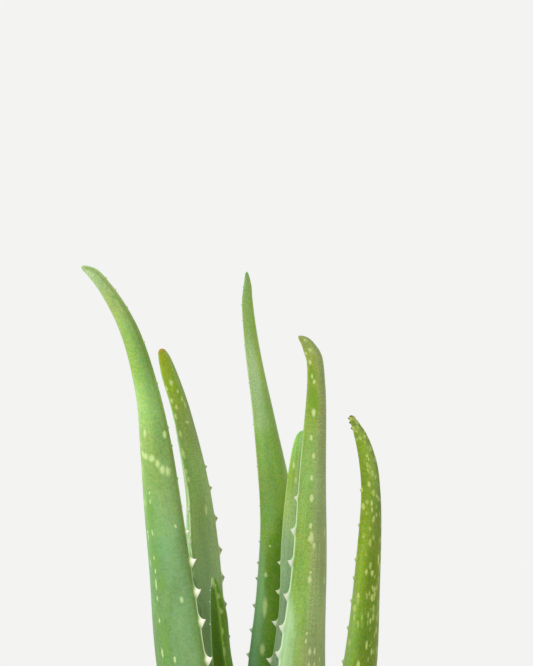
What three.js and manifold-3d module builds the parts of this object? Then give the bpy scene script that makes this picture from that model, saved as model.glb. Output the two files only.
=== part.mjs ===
// Potted aloe vera: a rosette of toothed succulent leaves on a short crown, in soil, in a terracotta pot.
// Millimetres, +Z up. The origin is the centre of the pot's flat underside.
// Leaves are named as seen by a viewer who looks along +Y: left is -X, front is -Y.
import * as THREE from 'three';
import { mergeVertices } from 'three/addons/utils/BufferGeometryUtils.js';
import Module from 'manifold-3d';

const wasm = await Module();
wasm.setup();

// Clearance between pieces that rest against each other
const GAP = 0.3;
const ROUND_SIDES = 40;

// Pot
const POT_HEIGHT = 122;
const POT_BASE_RADIUS = 46;
const POT_RIM_RADIUS = 70;
const POT_WALL = 6;
const POT_FLOOR = 9;
const RIM_BAND_HEIGHT = 32;
const RIM_BAND_STEP = 3.5;
const POT_EDGE_ROUND = 1.6;
const DRAIN_COUNT = 3;
const DRAIN_RADIUS = 4.5;
const DRAIN_CIRCLE = 22;
const DRAIN_SIDES = 16;

// Soil
const SOIL_TOP = 109;
const SOIL_CROWN = 2.5;
const SOIL_BUMP = 0.7;
const SOIL_FADE = 8;
const SOIL_RINGS = 7;

// Stem: a stub in the soil and a domed crown that carries the leaves
const STUB_RADIUS = 13;
const STUB_BOTTOM = 72;
const CROWN_BOTTOM = 113.5;
const CROWN_EDGE = 116.5;
const CROWN_RADIUS = 22;
const CROWN_TOP = 131;
const CROWN_STEPS = 4;

// Leaves: LEAF_FOOT is the lowest level that a leaf reaches, and LAST_RING how far from the tip its
// last ring lies. Depths are shares of the leaf's width: the rounded back stands out by BACK_DEPTH,
// more at the base and the tip, and the face is sunk by FACE_CHANNEL, more at the base, and swells
// by FACE_TIP_SWELL at the tip. The room that a leaf needs is larger by MARGIN_ROOM gaps at its
// sharp margins, and by CHANNEL_ROOM gaps below a deep V, whose flanks are steep.
const LEAF_FOOT = 112.6;
const RING_STEP = 11;
const RING_CROWDING = 1.15;
const BACK_SIDES = 8;
const FACE_SIDES = 4;
const BACK_DEPTH = 0.33;
const BACK_BASE_EXTRA = 0.07;
const BACK_TIP_EXTRA = 0.1;
const FACE_CHANNEL = 0.02;
const FACE_BASE_EXTRA = 0.1;
const FACE_TIP_SWELL = 0.2;
const FACE_ROUNDING = 1.5;
const CHANNEL_SHARPNESS = 0.8;
const MARGIN_ROOM = 2;
const CHANNEL_ROOM = 3.2;
const BASE_ENDS = 0.35;
const TIP_BEGINS = 0.45;
const LAST_RING = 1.2;

// Marginal teeth, where FAR_TEETH is the size of the other margin's as a share of the listed ones'
const TOOTH_PITCH = 15;
const FAR_TEETH = 0.65;

// A tooth's corners as shares of its length: outwards, towards the leaf's tip, and towards its back.
// The first is its point, and the others are its root, sunk in the margin.
const TOOTH_CORNERS = [
  [1, 0.35, 0],
  [-0.35, 0.75, 0.14],
  [-0.5, 0, 0.36],
  [-0.35, -0.95, 0.14],
  [-0.5, 0, -0.14],
];
const TOOTH_FACES = [0, 1, 2, 0, 2, 3, 0, 3, 4, 0, 4, 1, 1, 4, 2, 2, 4, 3];

const TERRACOTTA = 0xb5683f;
const SOIL_BROWN = 0x3b2a1e;
const STEM_TAN = 0xa59a6d;
const LEAF_GREEN = 0x79a865;

// A leaf's stations run from its base to its tip: x, y, z of its middle line and its width there.
// back is the compass direction, in degrees from +X towards +Y, that its convex back faces,
// at the base and at the tip. flanks are the roundness of the back clockwise and anticlockwise of
// its keel, seen from above, where 2 is round and 1 is flat, and lean is how far the keel lies off
// the middle. channel is the depth of a leaf's deep V-shaped face. teeth are distances from the tip
// along one margin, which teethSide gives as 1 for the margin anticlockwise of the back and -1 for
// the other, and the other margin's teeth lie half-way between them. toothSize is their length near
// the tip and low down, and toothGrowth where it changes. bareBase is the length at the base,
// pressed against other leaves, that has no teeth.
const LEAVES = [
  {
    name: 'leaf_centre_young', back: [290, 300], fullness: 0.9, bareBase: 60, flanks: [1.85, 1.85], lean: 0,
    stations: [[3, -5, 122, 22], [8, -8, 165, 22], [10.5, -11, 213, 19.5], [12, -11, 240, 15.8],
      [12.3, -11, 270, 14], [13.4, -11, 298, 10.9], [14.6, -11, 311, 8.6], [15.1, -11, 316, 6.2],
      [15.4, -11, 318.8, 2.2]],
    toothSize: [0.5, 3], toothGrowth: [25, 95], teethSide: -1, teeth: [58.6, 71.5, 85.7, 102.2],
  },
  {
    name: 'leaf_left_young', back: [35, 35], fullness: 1.7, bareBase: 50, flanks: [1.9, 1.9], lean: 0,
    channel: 0.36,
    stations: [[-3, 4, 123, 20], [-12, 0, 165, 15], [-21.9, -4, 213, 10.6], [-23.6, -4, 235, 8.6],
      [-24.3, -4, 244, 6], [-24.9, -4, 252.6, 2]],
    toothSize: [1.1, 1.6], toothGrowth: [0, 40], teethSide: -1, teeth: [3.5, 8.5, 14],
  },
  {
    name: 'leaf_centre_tall', back: [300, 305], fullness: 1, bareBase: 50, flanks: [1.75, 1.75], lean: 0,
    stations: [[0, -1, 119, 28], [-0.6, 2, 165, 26.3], [1.1, 4, 213, 22.9], [2.9, 4.5, 245, 19],
      [4.4, 5, 275, 18.9], [-1.5, 6, 320, 11.5], [-7.3, 6, 355, 7.4], [-9.5, 6, 376, 5.6],
      [-9.4, 6, 383.8, 4], [-9.7, 6, 389.8, 1.3]],
    toothSize: [0.5, 1.7], toothGrowth: [105, 165], teethSide: -1,
    teeth: [33, 69, 106, 123, 133, 140, 152, 163, 174],
  },
  {
    name: 'leaf_right_front', back: [315, 318], fullness: 1.05, bareBase: 45, flanks: [1.4, 2.1], lean: -0.2,
    stations: [[11, -13, 117, 35], [12.7, -19, 165, 32.6], [14.1, -22, 213, 27.9],
      [17.4, -22, 260, 20.1], [19.1, -21, 305, 15.4], [20.7, -20, 338, 10.9],
      [19.9, -20, 350.9, 9.4], [18.4, -20, 354.5, 8.1], [16.4, -20, 358, 5.6],
      [13.3, -20, 360.7, 1.4]],
    toothSize: [0.5, 3.2], toothGrowth: [50, 88], teethSide: -1,
    teeth: [73.3, 87.5, 101.2, 115.9, 129.5, 140.5],
  },
  {
    name: 'leaf_left_back', back: [158, 124], fullness: 0.95, bareBase: 45, flanks: [1.8, 1.8], lean: 0,
    stations: [[-12, 10, 117, 34], [-16.8, 15, 165, 31.6], [-22.9, 17, 213, 27],
      [-25.8, 17, 240, 24.6], [-28.7, 17, 262, 23.9], [-31.5, 17, 288, 15.8],
      [-36.9, 16, 315, 11.3], [-40.4, 15.5, 329, 9.6], [-44.9, 15, 342.7, 8.2],
      [-47.5, 14.3, 350.8, 5.9], [-49.1, 14, 354.8, 3.1]],
    toothSize: [0.9, 3.2], toothGrowth: [40, 110], teethSide: -1, farTeeth: 1,
    teeth: [58, 68, 82, 97.5, 110.5, 123],
  },
  {
    name: 'leaf_left_front', back: [228, 222], fullness: 1.05, bareBase: 40, flanks: [1.75, 1.75], lean: 0,
    stations: [[-14.1, -12, 115, 36], [-27.1, -20, 160, 32.4], [-36.4, -25, 213, 29.3],
      [-42.1, -29, 262, 23.5], [-47.5, -33, 312, 18.8], [-51.6, -35, 337.5, 13.7],
      [-59.1, -37, 363, 10.4], [-68.4, -39, 380, 7.8], [-74.1, -41, 387.1, 6.1],
      [-79.9, -42, 390.6, 1.4]],
    toothSize: [0.9, 4.1], toothGrowth: [112, 138], teethSide: 1,
    teeth: [10.5, 26, 60, 79, 101, 113, 124.3, 137.3, 150.5, 163.6, 180.5],
  },
  {
    name: 'leaf_right', back: [322, 322], fullness: 1.05, bareBase: 40, flanks: [1.8, 1.8], lean: 0,
    stations: [[17, -5, 115, 33], [28.8, -8, 160, 27.6], [39.5, -10, 213, 22.8],
      [43.6, -10, 262, 16], [44.9, -9, 290, 11.9], [43.9, -9, 303, 10.6], [40.9, -8, 315.6, 7.3],
      [36.7, -8, 325.3, 2.3]],
    toothSize: [1.3, 1.7], toothGrowth: [20, 130], teethSide: -1, farTeeth: 0.9,
    teeth: [2.8, 5.4, 34, 50, 65, 83, 95, 110],
  },
  {
    name: 'leaf_low_back', back: [92, 96], fullness: 1, bareBase: 25, flanks: [1.8, 1.8], lean: 0,
    stations: [[1, 19, 116, 32], [3, 36, 141, 28], [5, 47, 171, 19], [6, 53, 203, 2]],
    toothSize: [0.7, 2.6], toothGrowth: [0, 60], teethSide: -1, teeth: [6, 14, 24],
  },
  {
    name: 'leaf_low_left', back: [176, 172], fullness: 1, bareBase: 25, flanks: [1.8, 1.8], lean: 0,
    stations: [[-18, 2, 117, 31], [-39, 5, 138, 27], [-62, 9, 161, 18], [-81, 12, 186, 2]],
    toothSize: [0.7, 2.6], toothGrowth: [0, 60], teethSide: -1, teeth: [6, 14, 24],
  },
  {
    name: 'leaf_low_front', back: [262, 258], fullness: 1, bareBase: 25, flanks: [1.8, 1.8], lean: 0,
    stations: [[-2, -19, 117, 31], [-5, -39, 141, 27], [-9, -54, 167, 18], [-13, -62, 193, 2]],
    toothSize: [0.7, 2.6], toothGrowth: [0, 60], teethSide: -1, teeth: [6, 14, 24],
  },
  {
    name: 'leaf_low_right', back: [28, 24], fullness: 1, bareBase: 25, flanks: [1.8, 1.8], lean: 0,
    stations: [[17, 9, 117, 32], [36, 19, 139, 28], [55, 29, 165, 19], [66, 35, 194, 2]],
    toothSize: [0.7, 2.6], toothGrowth: [0, 60], teethSide: -1, teeth: [6, 14, 24],
  },
];

// A closed mesh with shared corners becomes a solid that can be joined or cut
function toSolid(geometry) {
  const bare = geometry.index ? geometry.toNonIndexed() : geometry.clone();
  bare.deleteAttribute('normal');
  bare.deleteAttribute('uv');
  const merged = mergeVertices(bare, 1e-4);
  const mesh = new wasm.Mesh({
    numProp: 3,
    vertProperties: new Float32Array(merged.attributes.position.array),
    triVerts: new Uint32Array(merged.index.array),
  });
  return new wasm.Manifold(mesh);
}

function toGeometry(solid) {
  const mesh = solid.getMesh();
  const geometry = new THREE.BufferGeometry();
  geometry.setAttribute('position', new THREE.BufferAttribute(new Float32Array(mesh.vertProperties), 3));
  geometry.setIndex(new THREE.BufferAttribute(new Uint32Array(mesh.triVerts), 1));
  geometry.computeVertexNormals();
  return geometry;
}

function meshFromFaces(points, faces) {
  const geometry = new THREE.BufferGeometry();
  const flat = points.flatMap((p) => [p.x, p.y, p.z]);
  geometry.setAttribute('position', new THREE.Float32BufferAttribute(flat, 3));
  geometry.setIndex(faces);
  return geometry;
}

function finish(name, geometry, color, roughness) {
  const material = new THREE.MeshStandardMaterial({ color, roughness, metalness: 0 });
  const mesh = new THREE.Mesh(geometry, material);
  mesh.name = name;
  return mesh;
}

// Turned shapes are drawn as radius and height, and stood up from three.js's Y axis to Z
function turned(profile) {
  const points = profile.map(([radius, height]) => new THREE.Vector2(radius, height));
  return new THREE.LatheGeometry(points, ROUND_SIDES).rotateX(Math.PI / 2);
}

function potWallRadius(height) {
  const rise = height / POT_HEIGHT;
  return POT_BASE_RADIUS + (POT_RIM_RADIUS - RIM_BAND_STEP - POT_BASE_RADIUS) * rise;
}

function potInnerRadius(height) {
  return potWallRadius(height) - POT_WALL;
}

function buildPot() {
  const bandBottom = POT_HEIGHT - RIM_BAND_HEIGHT;
  const bandRadius = potWallRadius(bandBottom) + RIM_BAND_STEP;
  const body = toSolid(turned([
    [0, 0],
    [POT_BASE_RADIUS - POT_EDGE_ROUND, 0],
    [POT_BASE_RADIUS, POT_EDGE_ROUND],
    [potWallRadius(bandBottom - RIM_BAND_STEP), bandBottom - RIM_BAND_STEP],
    [bandRadius - POT_EDGE_ROUND, bandBottom],
    [bandRadius, bandBottom + POT_EDGE_ROUND],
    [POT_RIM_RADIUS, POT_HEIGHT - POT_EDGE_ROUND],
    [POT_RIM_RADIUS - POT_EDGE_ROUND, POT_HEIGHT],
    [potInnerRadius(POT_HEIGHT) + POT_EDGE_ROUND, POT_HEIGHT],
    [potInnerRadius(POT_HEIGHT), POT_HEIGHT - POT_EDGE_ROUND],
    [potInnerRadius(POT_FLOOR), POT_FLOOR],
    [0, POT_FLOOR],
  ]));
  const drills = [];
  for (let i = 0; i < DRAIN_COUNT; i++) {
    const angle = (2 * Math.PI * i) / DRAIN_COUNT + Math.PI / 2;
    const drill = new THREE.CylinderGeometry(DRAIN_RADIUS, DRAIN_RADIUS, 3 * POT_FLOOR, DRAIN_SIDES);
    drill.rotateX(Math.PI / 2);
    drill.translate(DRAIN_CIRCLE * Math.cos(angle), DRAIN_CIRCLE * Math.sin(angle), POT_FLOOR / 2);
    drills.push(toSolid(drill));
  }
  return toGeometry(drills.reduce((pot, drill) => pot.subtract(drill), body));
}

// The soil's top is a low dome with gentle unevenness that dies out at the pot's wall and the stem
function soilHeight(x, y) {
  const outer = potInnerRadius(SOIL_TOP) - GAP;
  const radius = Math.hypot(x, y);
  const dome = SOIL_CROWN * (1 - (radius / outer) ** 2);
  const fade = THREE.MathUtils.clamp((radius - STUB_RADIUS) / SOIL_FADE, 0, 1);
  const waves = Math.sin(0.21 * x + 0.8) * Math.cos(0.17 * y - 0.4) + 0.5 * Math.sin(0.33 * (x - y));
  return SOIL_TOP + dome + SOIL_BUMP * fade * waves;
}

function buildSoil() {
  const bottom = POT_FLOOR + GAP;
  const hole = STUB_RADIUS + GAP;
  const edge = potInnerRadius(SOIL_TOP) - GAP;
  const profile = [[hole, STUB_BOTTOM - GAP], [hole, SOIL_TOP]];
  for (let i = 1; i <= SOIL_RINGS; i++) {
    profile.push([hole + ((edge - hole) * i) / SOIL_RINGS, SOIL_TOP]);
  }
  profile.push([potInnerRadius(bottom) - GAP, bottom]);
  const geometry = turned([[0, STUB_BOTTOM - GAP], ...profile, [0, bottom]].reverse());
  const place = geometry.attributes.position;
  for (let i = 0; i < place.count; i++) {
    if (place.getZ(i) > SOIL_TOP - 0.001) {
      place.setZ(i, soilHeight(place.getX(i), place.getY(i)));
    }
  }
  return toGeometry(toSolid(geometry));
}

function crownProfile(grow) {
  const profile = [[0, STUB_BOTTOM - grow], [STUB_RADIUS + grow, STUB_BOTTOM - grow]];
  profile.push([STUB_RADIUS + grow, CROWN_BOTTOM - grow]);
  profile.push([CROWN_RADIUS + grow, CROWN_EDGE - grow]);
  for (let i = 0; i < CROWN_STEPS; i++) {
    const angle = (Math.PI / 2) * (i / CROWN_STEPS);
    const height = CROWN_EDGE + (CROWN_TOP + grow - CROWN_EDGE) * Math.sin(angle);
    profile.push([(CROWN_RADIUS + grow) * Math.cos(angle), height + grow * Math.cos(angle)]);
  }
  return [...profile, [0, CROWN_TOP + grow]];
}

function buildStem() {
  return toGeometry(toSolid(turned(crownProfile(0))));
}

// A leaf's middle line and width as smooth curves through its stations
function leafCurves(leaf) {
  const middle = new THREE.CatmullRomCurve3(leaf.stations.map(([x, y, z]) => new THREE.Vector3(x, y, z)));
  middle.arcLengthDivisions = 400;
  const widths = new THREE.CatmullRomCurve3(
    leaf.stations.map(([, , , width], i) => new THREE.Vector3(width, i * 10, 0)),
    false,
    'catmullrom',
  );
  return { middle, widths, length: middle.getLength() };
}

// Position, axes and section sizes of a leaf at the share u of its length, 0 at the base, 1 at the tip
function leafFrame(leaf, curves, u) {
  const t = curves.middle.getUtoTmapping(u);
  const along = curves.middle.getTangent(t).normalize();
  const tipward = THREE.MathUtils.smoothstep(u, TIP_BEGINS, 1);
  const turn = THREE.MathUtils.degToRad(THREE.MathUtils.lerp(leaf.back[0], leaf.back[1], tipward));
  const back = new THREE.Vector3(Math.cos(turn), Math.sin(turn), 0);
  back.addScaledVector(along, -back.dot(along)).normalize();
  const across = new THREE.Vector3().crossVectors(along, back).normalize();
  const width = curves.widths.getPoint(t).x;
  const baseward = 1 - THREE.MathUtils.smoothstep(u, 0, BASE_ENDS);
  const backShare = BACK_DEPTH + BACK_TIP_EXTRA * tipward + BACK_BASE_EXTRA * baseward;
  const faceShare = leaf.channel
    ? -leaf.channel * (1 - tipward / 2)
    : FACE_TIP_SWELL * tipward - FACE_CHANNEL - FACE_BASE_EXTRA * baseward;
  return {
    centre: curves.middle.getPoint(t),
    along,
    back,
    across,
    width,
    backDepth: leaf.fullness * width * backShare,
    faceDepth: width * faceShare,
  };
}

// A leaf's section: a rounded back and a face that is channelled low down and swells near the tip,
// or is a deep V. grow makes the whole section larger, for the room that a leaf needs.
function faceDrop(leaf, grow) {
  return leaf.channel ? CHANNEL_ROOM * grow : grow;
}

function marginPoint(leaf, frame, sign, grow) {
  return frame.centre.clone()
    .addScaledVector(frame.across, sign * (frame.width / 2 + MARGIN_ROOM * grow))
    .addScaledVector(frame.back, -faceDrop(leaf, grow));
}

function backPoint(leaf, frame, share, grow) {
  const reach = Math.cos(Math.PI * share);
  const roundness = leaf.flanks[reach > 0 ? 1 : 0];
  const over = (1 - Math.abs(reach) ** roundness) ** (1 / roundness);
  return frame.centre.clone()
    .addScaledVector(frame.across, (frame.width / 2 + grow) * (reach + leaf.lean * over))
    .addScaledVector(frame.back, (frame.backDepth + grow) * over);
}

function facePoint(leaf, frame, share, grow) {
  const angle = Math.PI * share;
  const under = leaf.channel
    ? (1 - Math.abs(Math.cos(angle))) ** CHANNEL_SHARPNESS
    : Math.sin(angle) ** FACE_ROUNDING;
  return frame.centre.clone()
    .addScaledVector(frame.across, -(frame.width / 2 + grow) * Math.cos(angle))
    .addScaledVector(frame.back, -frame.faceDepth * under - faceDrop(leaf, grow));
}

function leafRing(leaf, frame, grow) {
  const ring = [marginPoint(leaf, frame, 1, grow)];
  for (let i = 1; i < BACK_SIDES; i++) {
    ring.push(backPoint(leaf, frame, i / BACK_SIDES, grow));
  }
  ring.push(marginPoint(leaf, frame, -1, grow));
  for (let i = 1; i < FACE_SIDES; i++) {
    ring.push(facePoint(leaf, frame, i / FACE_SIDES, grow));
  }
  return ring;
}

// Shares of a leaf's length at which its rings lie, closer together towards the tip
function ringShares(length) {
  const rings = Math.round(length / RING_STEP);
  const shares = [];
  for (let i = 0; i < rings; i++) {
    shares.push(1 - (1 - i / rings) ** RING_CROWDING);
  }
  return [...shares, 1 - LAST_RING / length];
}

// A ring-by-ring skin, closed by a fan at the base and by the tip point
function leafBody(leaf, curves, grow) {
  const points = [];
  const faces = [];
  const sides = BACK_SIDES + FACE_SIDES;
  const shares = ringShares(curves.length);
  const rings = shares.length;
  for (const u of shares) {
    points.push(...leafRing(leaf, leafFrame(leaf, curves, u), grow));
  }
  for (let i = 0; i + 1 < rings; i++) {
    for (let j = 0; j < sides; j++) {
      const a = i * sides + j;
      const b = i * sides + ((j + 1) % sides);
      faces.push(a, a + sides, b, b, a + sides, b + sides);
    }
  }
  const start = leafFrame(leaf, curves, 0);
  const core = start.centre.addScaledVector(start.back, (start.backDepth - start.faceDepth) / 2);
  const base = points.push(core) - 1;
  const tip = points.push(curves.middle.getPoint(1)) - 1;
  const last = (rings - 1) * sides;
  for (let j = 0; j < sides; j++) {
    const next = (j + 1) % sides;
    faces.push(base, j, next);
    faces.push(tip, last + next, last + j);
  }
  return toSolid(meshFromFaces(points, faces));
}

// One marginal tooth: a flat spike whose point leans towards the leaf's tip
function tooth(leaf, curves, distance, side) {
  const frame = leafFrame(leaf, curves, 1 - distance / curves.length);
  const growth = THREE.MathUtils.smoothstep(distance, ...leaf.toothGrowth);
  const scale = side === leaf.teethSide ? 1 : leaf.farTeeth ?? FAR_TEETH;
  const length = scale * THREE.MathUtils.lerp(leaf.toothSize[0], leaf.toothSize[1], growth);
  const out = frame.across.clone().multiplyScalar(side);
  const margin = frame.centre.clone().addScaledVector(out, frame.width / 2);
  const points = TOOTH_CORNERS.map(([outwards, tipwards, backwards]) => margin.clone()
    .addScaledVector(out, outwards * length)
    .addScaledVector(frame.along, tipwards * length)
    .addScaledVector(frame.back, backwards * length));
  const faces = side > 0 ? TOOTH_FACES : [...TOOTH_FACES].reverse();
  return toSolid(meshFromFaces(points, faces));
}

// Distances from the tip: those listed, then on towards the base at an even pitch
function toothDistances(leaf, length) {
  const distances = [...leaf.teeth];
  let last = distances[distances.length - 1];
  while (last + TOOTH_PITCH < length - leaf.bareBase) {
    last += TOOTH_PITCH;
    distances.push(last);
  }
  return distances;
}

function buildTeeth(leaf, curves) {
  const listed = toothDistances(leaf, curves.length);
  const between = listed.slice(1).map((distance, i) => (distance + listed[i]) / 2);
  return [
    ...listed.map((distance) => tooth(leaf, curves, distance, leaf.teethSide)),
    ...between.map((distance) => tooth(leaf, curves, distance, -leaf.teethSide)),
  ];
}

function largestPiece(solid) {
  const pieces = solid.decompose();
  return pieces.reduce((most, piece) => (piece.volume() > most.volume() ? piece : most));
}

// The room that the soil takes up below the leaves
function soilRoom() {
  const size = 2 * potInnerRadius(SOIL_TOP);
  const slab = new THREE.BoxGeometry(size, size, SOIL_TOP);
  slab.translate(0, 0, LEAF_FOOT - SOIL_TOP / 2);
  return toSolid(slab);
}

// Leaves are made from the middle of the rosette outwards, and each is cut back where it would
// meet the soil, the crown or a leaf further in, so that the bases nest
function buildLeaves() {
  const inner = [soilRoom(), toSolid(turned(crownProfile(GAP)))];
  const meshes = [];
  for (const leaf of LEAVES) {
    const curves = leafCurves(leaf);
    const teeth = buildTeeth(leaf, curves);
    const whole = teeth.reduce((body, spike) => body.add(spike), leafBody(leaf, curves, 0));
    const cut = inner.reduce((body, other) => body.subtract(other), whole);
    meshes.push(finish(leaf.name, toGeometry(largestPiece(cut)), LEAF_GREEN, 0.5));
    inner.push(leafBody(leaf, curves, GAP));
  }
  return meshes;
}

const group = new THREE.Group();
group.add(finish('pot', buildPot(), TERRACOTTA, 0.85));
group.add(finish('soil', buildSoil(), SOIL_BROWN, 0.95));
group.add(finish('stem', buildStem(), STEM_TAN, 0.8));
group.add(...buildLeaves());

export default group;
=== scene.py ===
import math
import random

import bmesh
import bpy
import numpy as np
from mathutils import Matrix, Vector, noise


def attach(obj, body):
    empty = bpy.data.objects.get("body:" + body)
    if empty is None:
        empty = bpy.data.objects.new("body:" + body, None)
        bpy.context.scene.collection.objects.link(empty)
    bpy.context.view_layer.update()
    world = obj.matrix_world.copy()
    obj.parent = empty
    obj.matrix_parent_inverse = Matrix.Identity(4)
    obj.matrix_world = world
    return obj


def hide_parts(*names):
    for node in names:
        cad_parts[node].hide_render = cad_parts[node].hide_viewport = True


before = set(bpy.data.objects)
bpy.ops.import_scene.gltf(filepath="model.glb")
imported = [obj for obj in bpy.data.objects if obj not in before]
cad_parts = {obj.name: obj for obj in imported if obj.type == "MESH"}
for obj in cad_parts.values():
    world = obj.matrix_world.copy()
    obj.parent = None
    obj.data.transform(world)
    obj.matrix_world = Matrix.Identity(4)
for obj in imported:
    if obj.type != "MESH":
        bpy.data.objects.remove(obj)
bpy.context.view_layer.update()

MM = 0.001

# The camera, level and at the height of the leaves' middle
CAMERA_PLACE = (-0.0007, -0.8325, 0.362)
CAMERA_LENS = 100
CAMERA_SENSOR = 36

# The same forms as the solids have. Depths are shares of the leaf's width, BASE_ENDS and TIP_BEGINS shares
# of its length, and the pitch of teeth, the lowest level of a leaf and the gap are in millimetres.
BACK_DEPTH = 0.33
BACK_BASE_EXTRA = 0.07
BACK_TIP_EXTRA = 0.1
FACE_CHANNEL = 0.02
FACE_BASE_EXTRA = 0.1
FACE_TIP_SWELL = 0.2
FACE_ROUNDING = 1.5
CHANNEL_SHARPNESS = 0.8
CHANNEL_ROOM = 3.2
BASE_ENDS = 0.35
TIP_BEGINS = 0.45
TOOTH_PITCH = 15
FAR_TEETH = 0.65
LEAF_FOOT = 112.6
GAP = 0.3

# Fine mesh of a leaf: section angles from a margin to the middle of the back and of the face,
# the plain ring spacing, and the rings at each tooth in shares of the tooth's length
BACK_ANGLES = (0, 0.03, 0.07, 0.12, 0.19, 0.28, 0.4, 0.55, 0.72, 0.92, 1.12, 1.3, 1.44, math.pi / 2)
FACE_ANGLES = (0, 0.1, 0.17, 0.25, 0.35, 0.48, 0.65, 0.85, 1.08, 1.32, math.pi / 2)
RING_SPACING = 1.5
LEAST_SPACING = 0.06
TOOTH_RINGS = (0, 0.04, 0.09, 0.16, 0.25, 0.36, 0.5, 0.7, 0.95, 1.25,
               -0.06, -0.15, -0.27, -0.4, -0.54, -0.68, -0.82, -1.2, -1.7, -2.2)
TIP_RINGS = (0.04, 0.12, 0.25, 0.45, 0.7, 1, 1.4, 1.9, 2.5)
TIP_ROUND = 1.4

# A tooth's outline, in shares of its length: how far its root reaches to each side, how hollow each edge is,
# the low foot that runs out behind it, and how thick it is. BROWN_REACH is in millimetres from the tip, and
# points on the margin whose teeth aren't listed are brown only if shorter than SMALL_TOOTH.
TOOTH_AHEAD = 1.25
TOOTH_BEHIND = 0.82
EDGE_AHEAD = 3
EDGE_BEHIND = 1.25
TOOTH_FOOT = 0.1
FOOT_BEHIND = 2.2
TOOTH_THICK = 0.32
BROWN_REACH = (70, 110)
SMALL_TOOTH = 1.2
TOOTH_HOOK = 0.35

# Leaves as the solids have them, in millimetres and degrees, with some small teeth that the solids leave
# out. A leaf's stations run from its base to its tip: x, y, z of its middle line and its width there.
# Scratch programs fitted the stations of five leaves to the photo, and worked out the distances of teeth and
# marks from their places in it, as report.md says. back is the compass direction, from +X towards +Y, that a
# leaf's convex back faces at the base and at the tip, and fullness multiplies the back's depth. flanks are
# the roundness of the back clockwise and anticlockwise of its keel, seen from above, where 2 is round and 1
# is flat, and lean is how far the keel lies off the middle. channel is the depth of a deep V-shaped face.
# teeth are distances from the tip along one margin, which teeth_side gives as 1 for the margin anticlockwise
# of the back and -1 for the other. The other margin's lie half-way between them and are far_teeth as long.
# tooth_size is their length near the tip and low down, tooth_growth where it changes, and bare_base the
# length at the base without any. Their points are brown down to brown_reach, where it fades. hook is how far
# they bend towards the tip, and edge_ahead how hollow the edge on that side is. FLANKS is for leaves that
# give none.
FLANKS = (1.8, 1.8)
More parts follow.
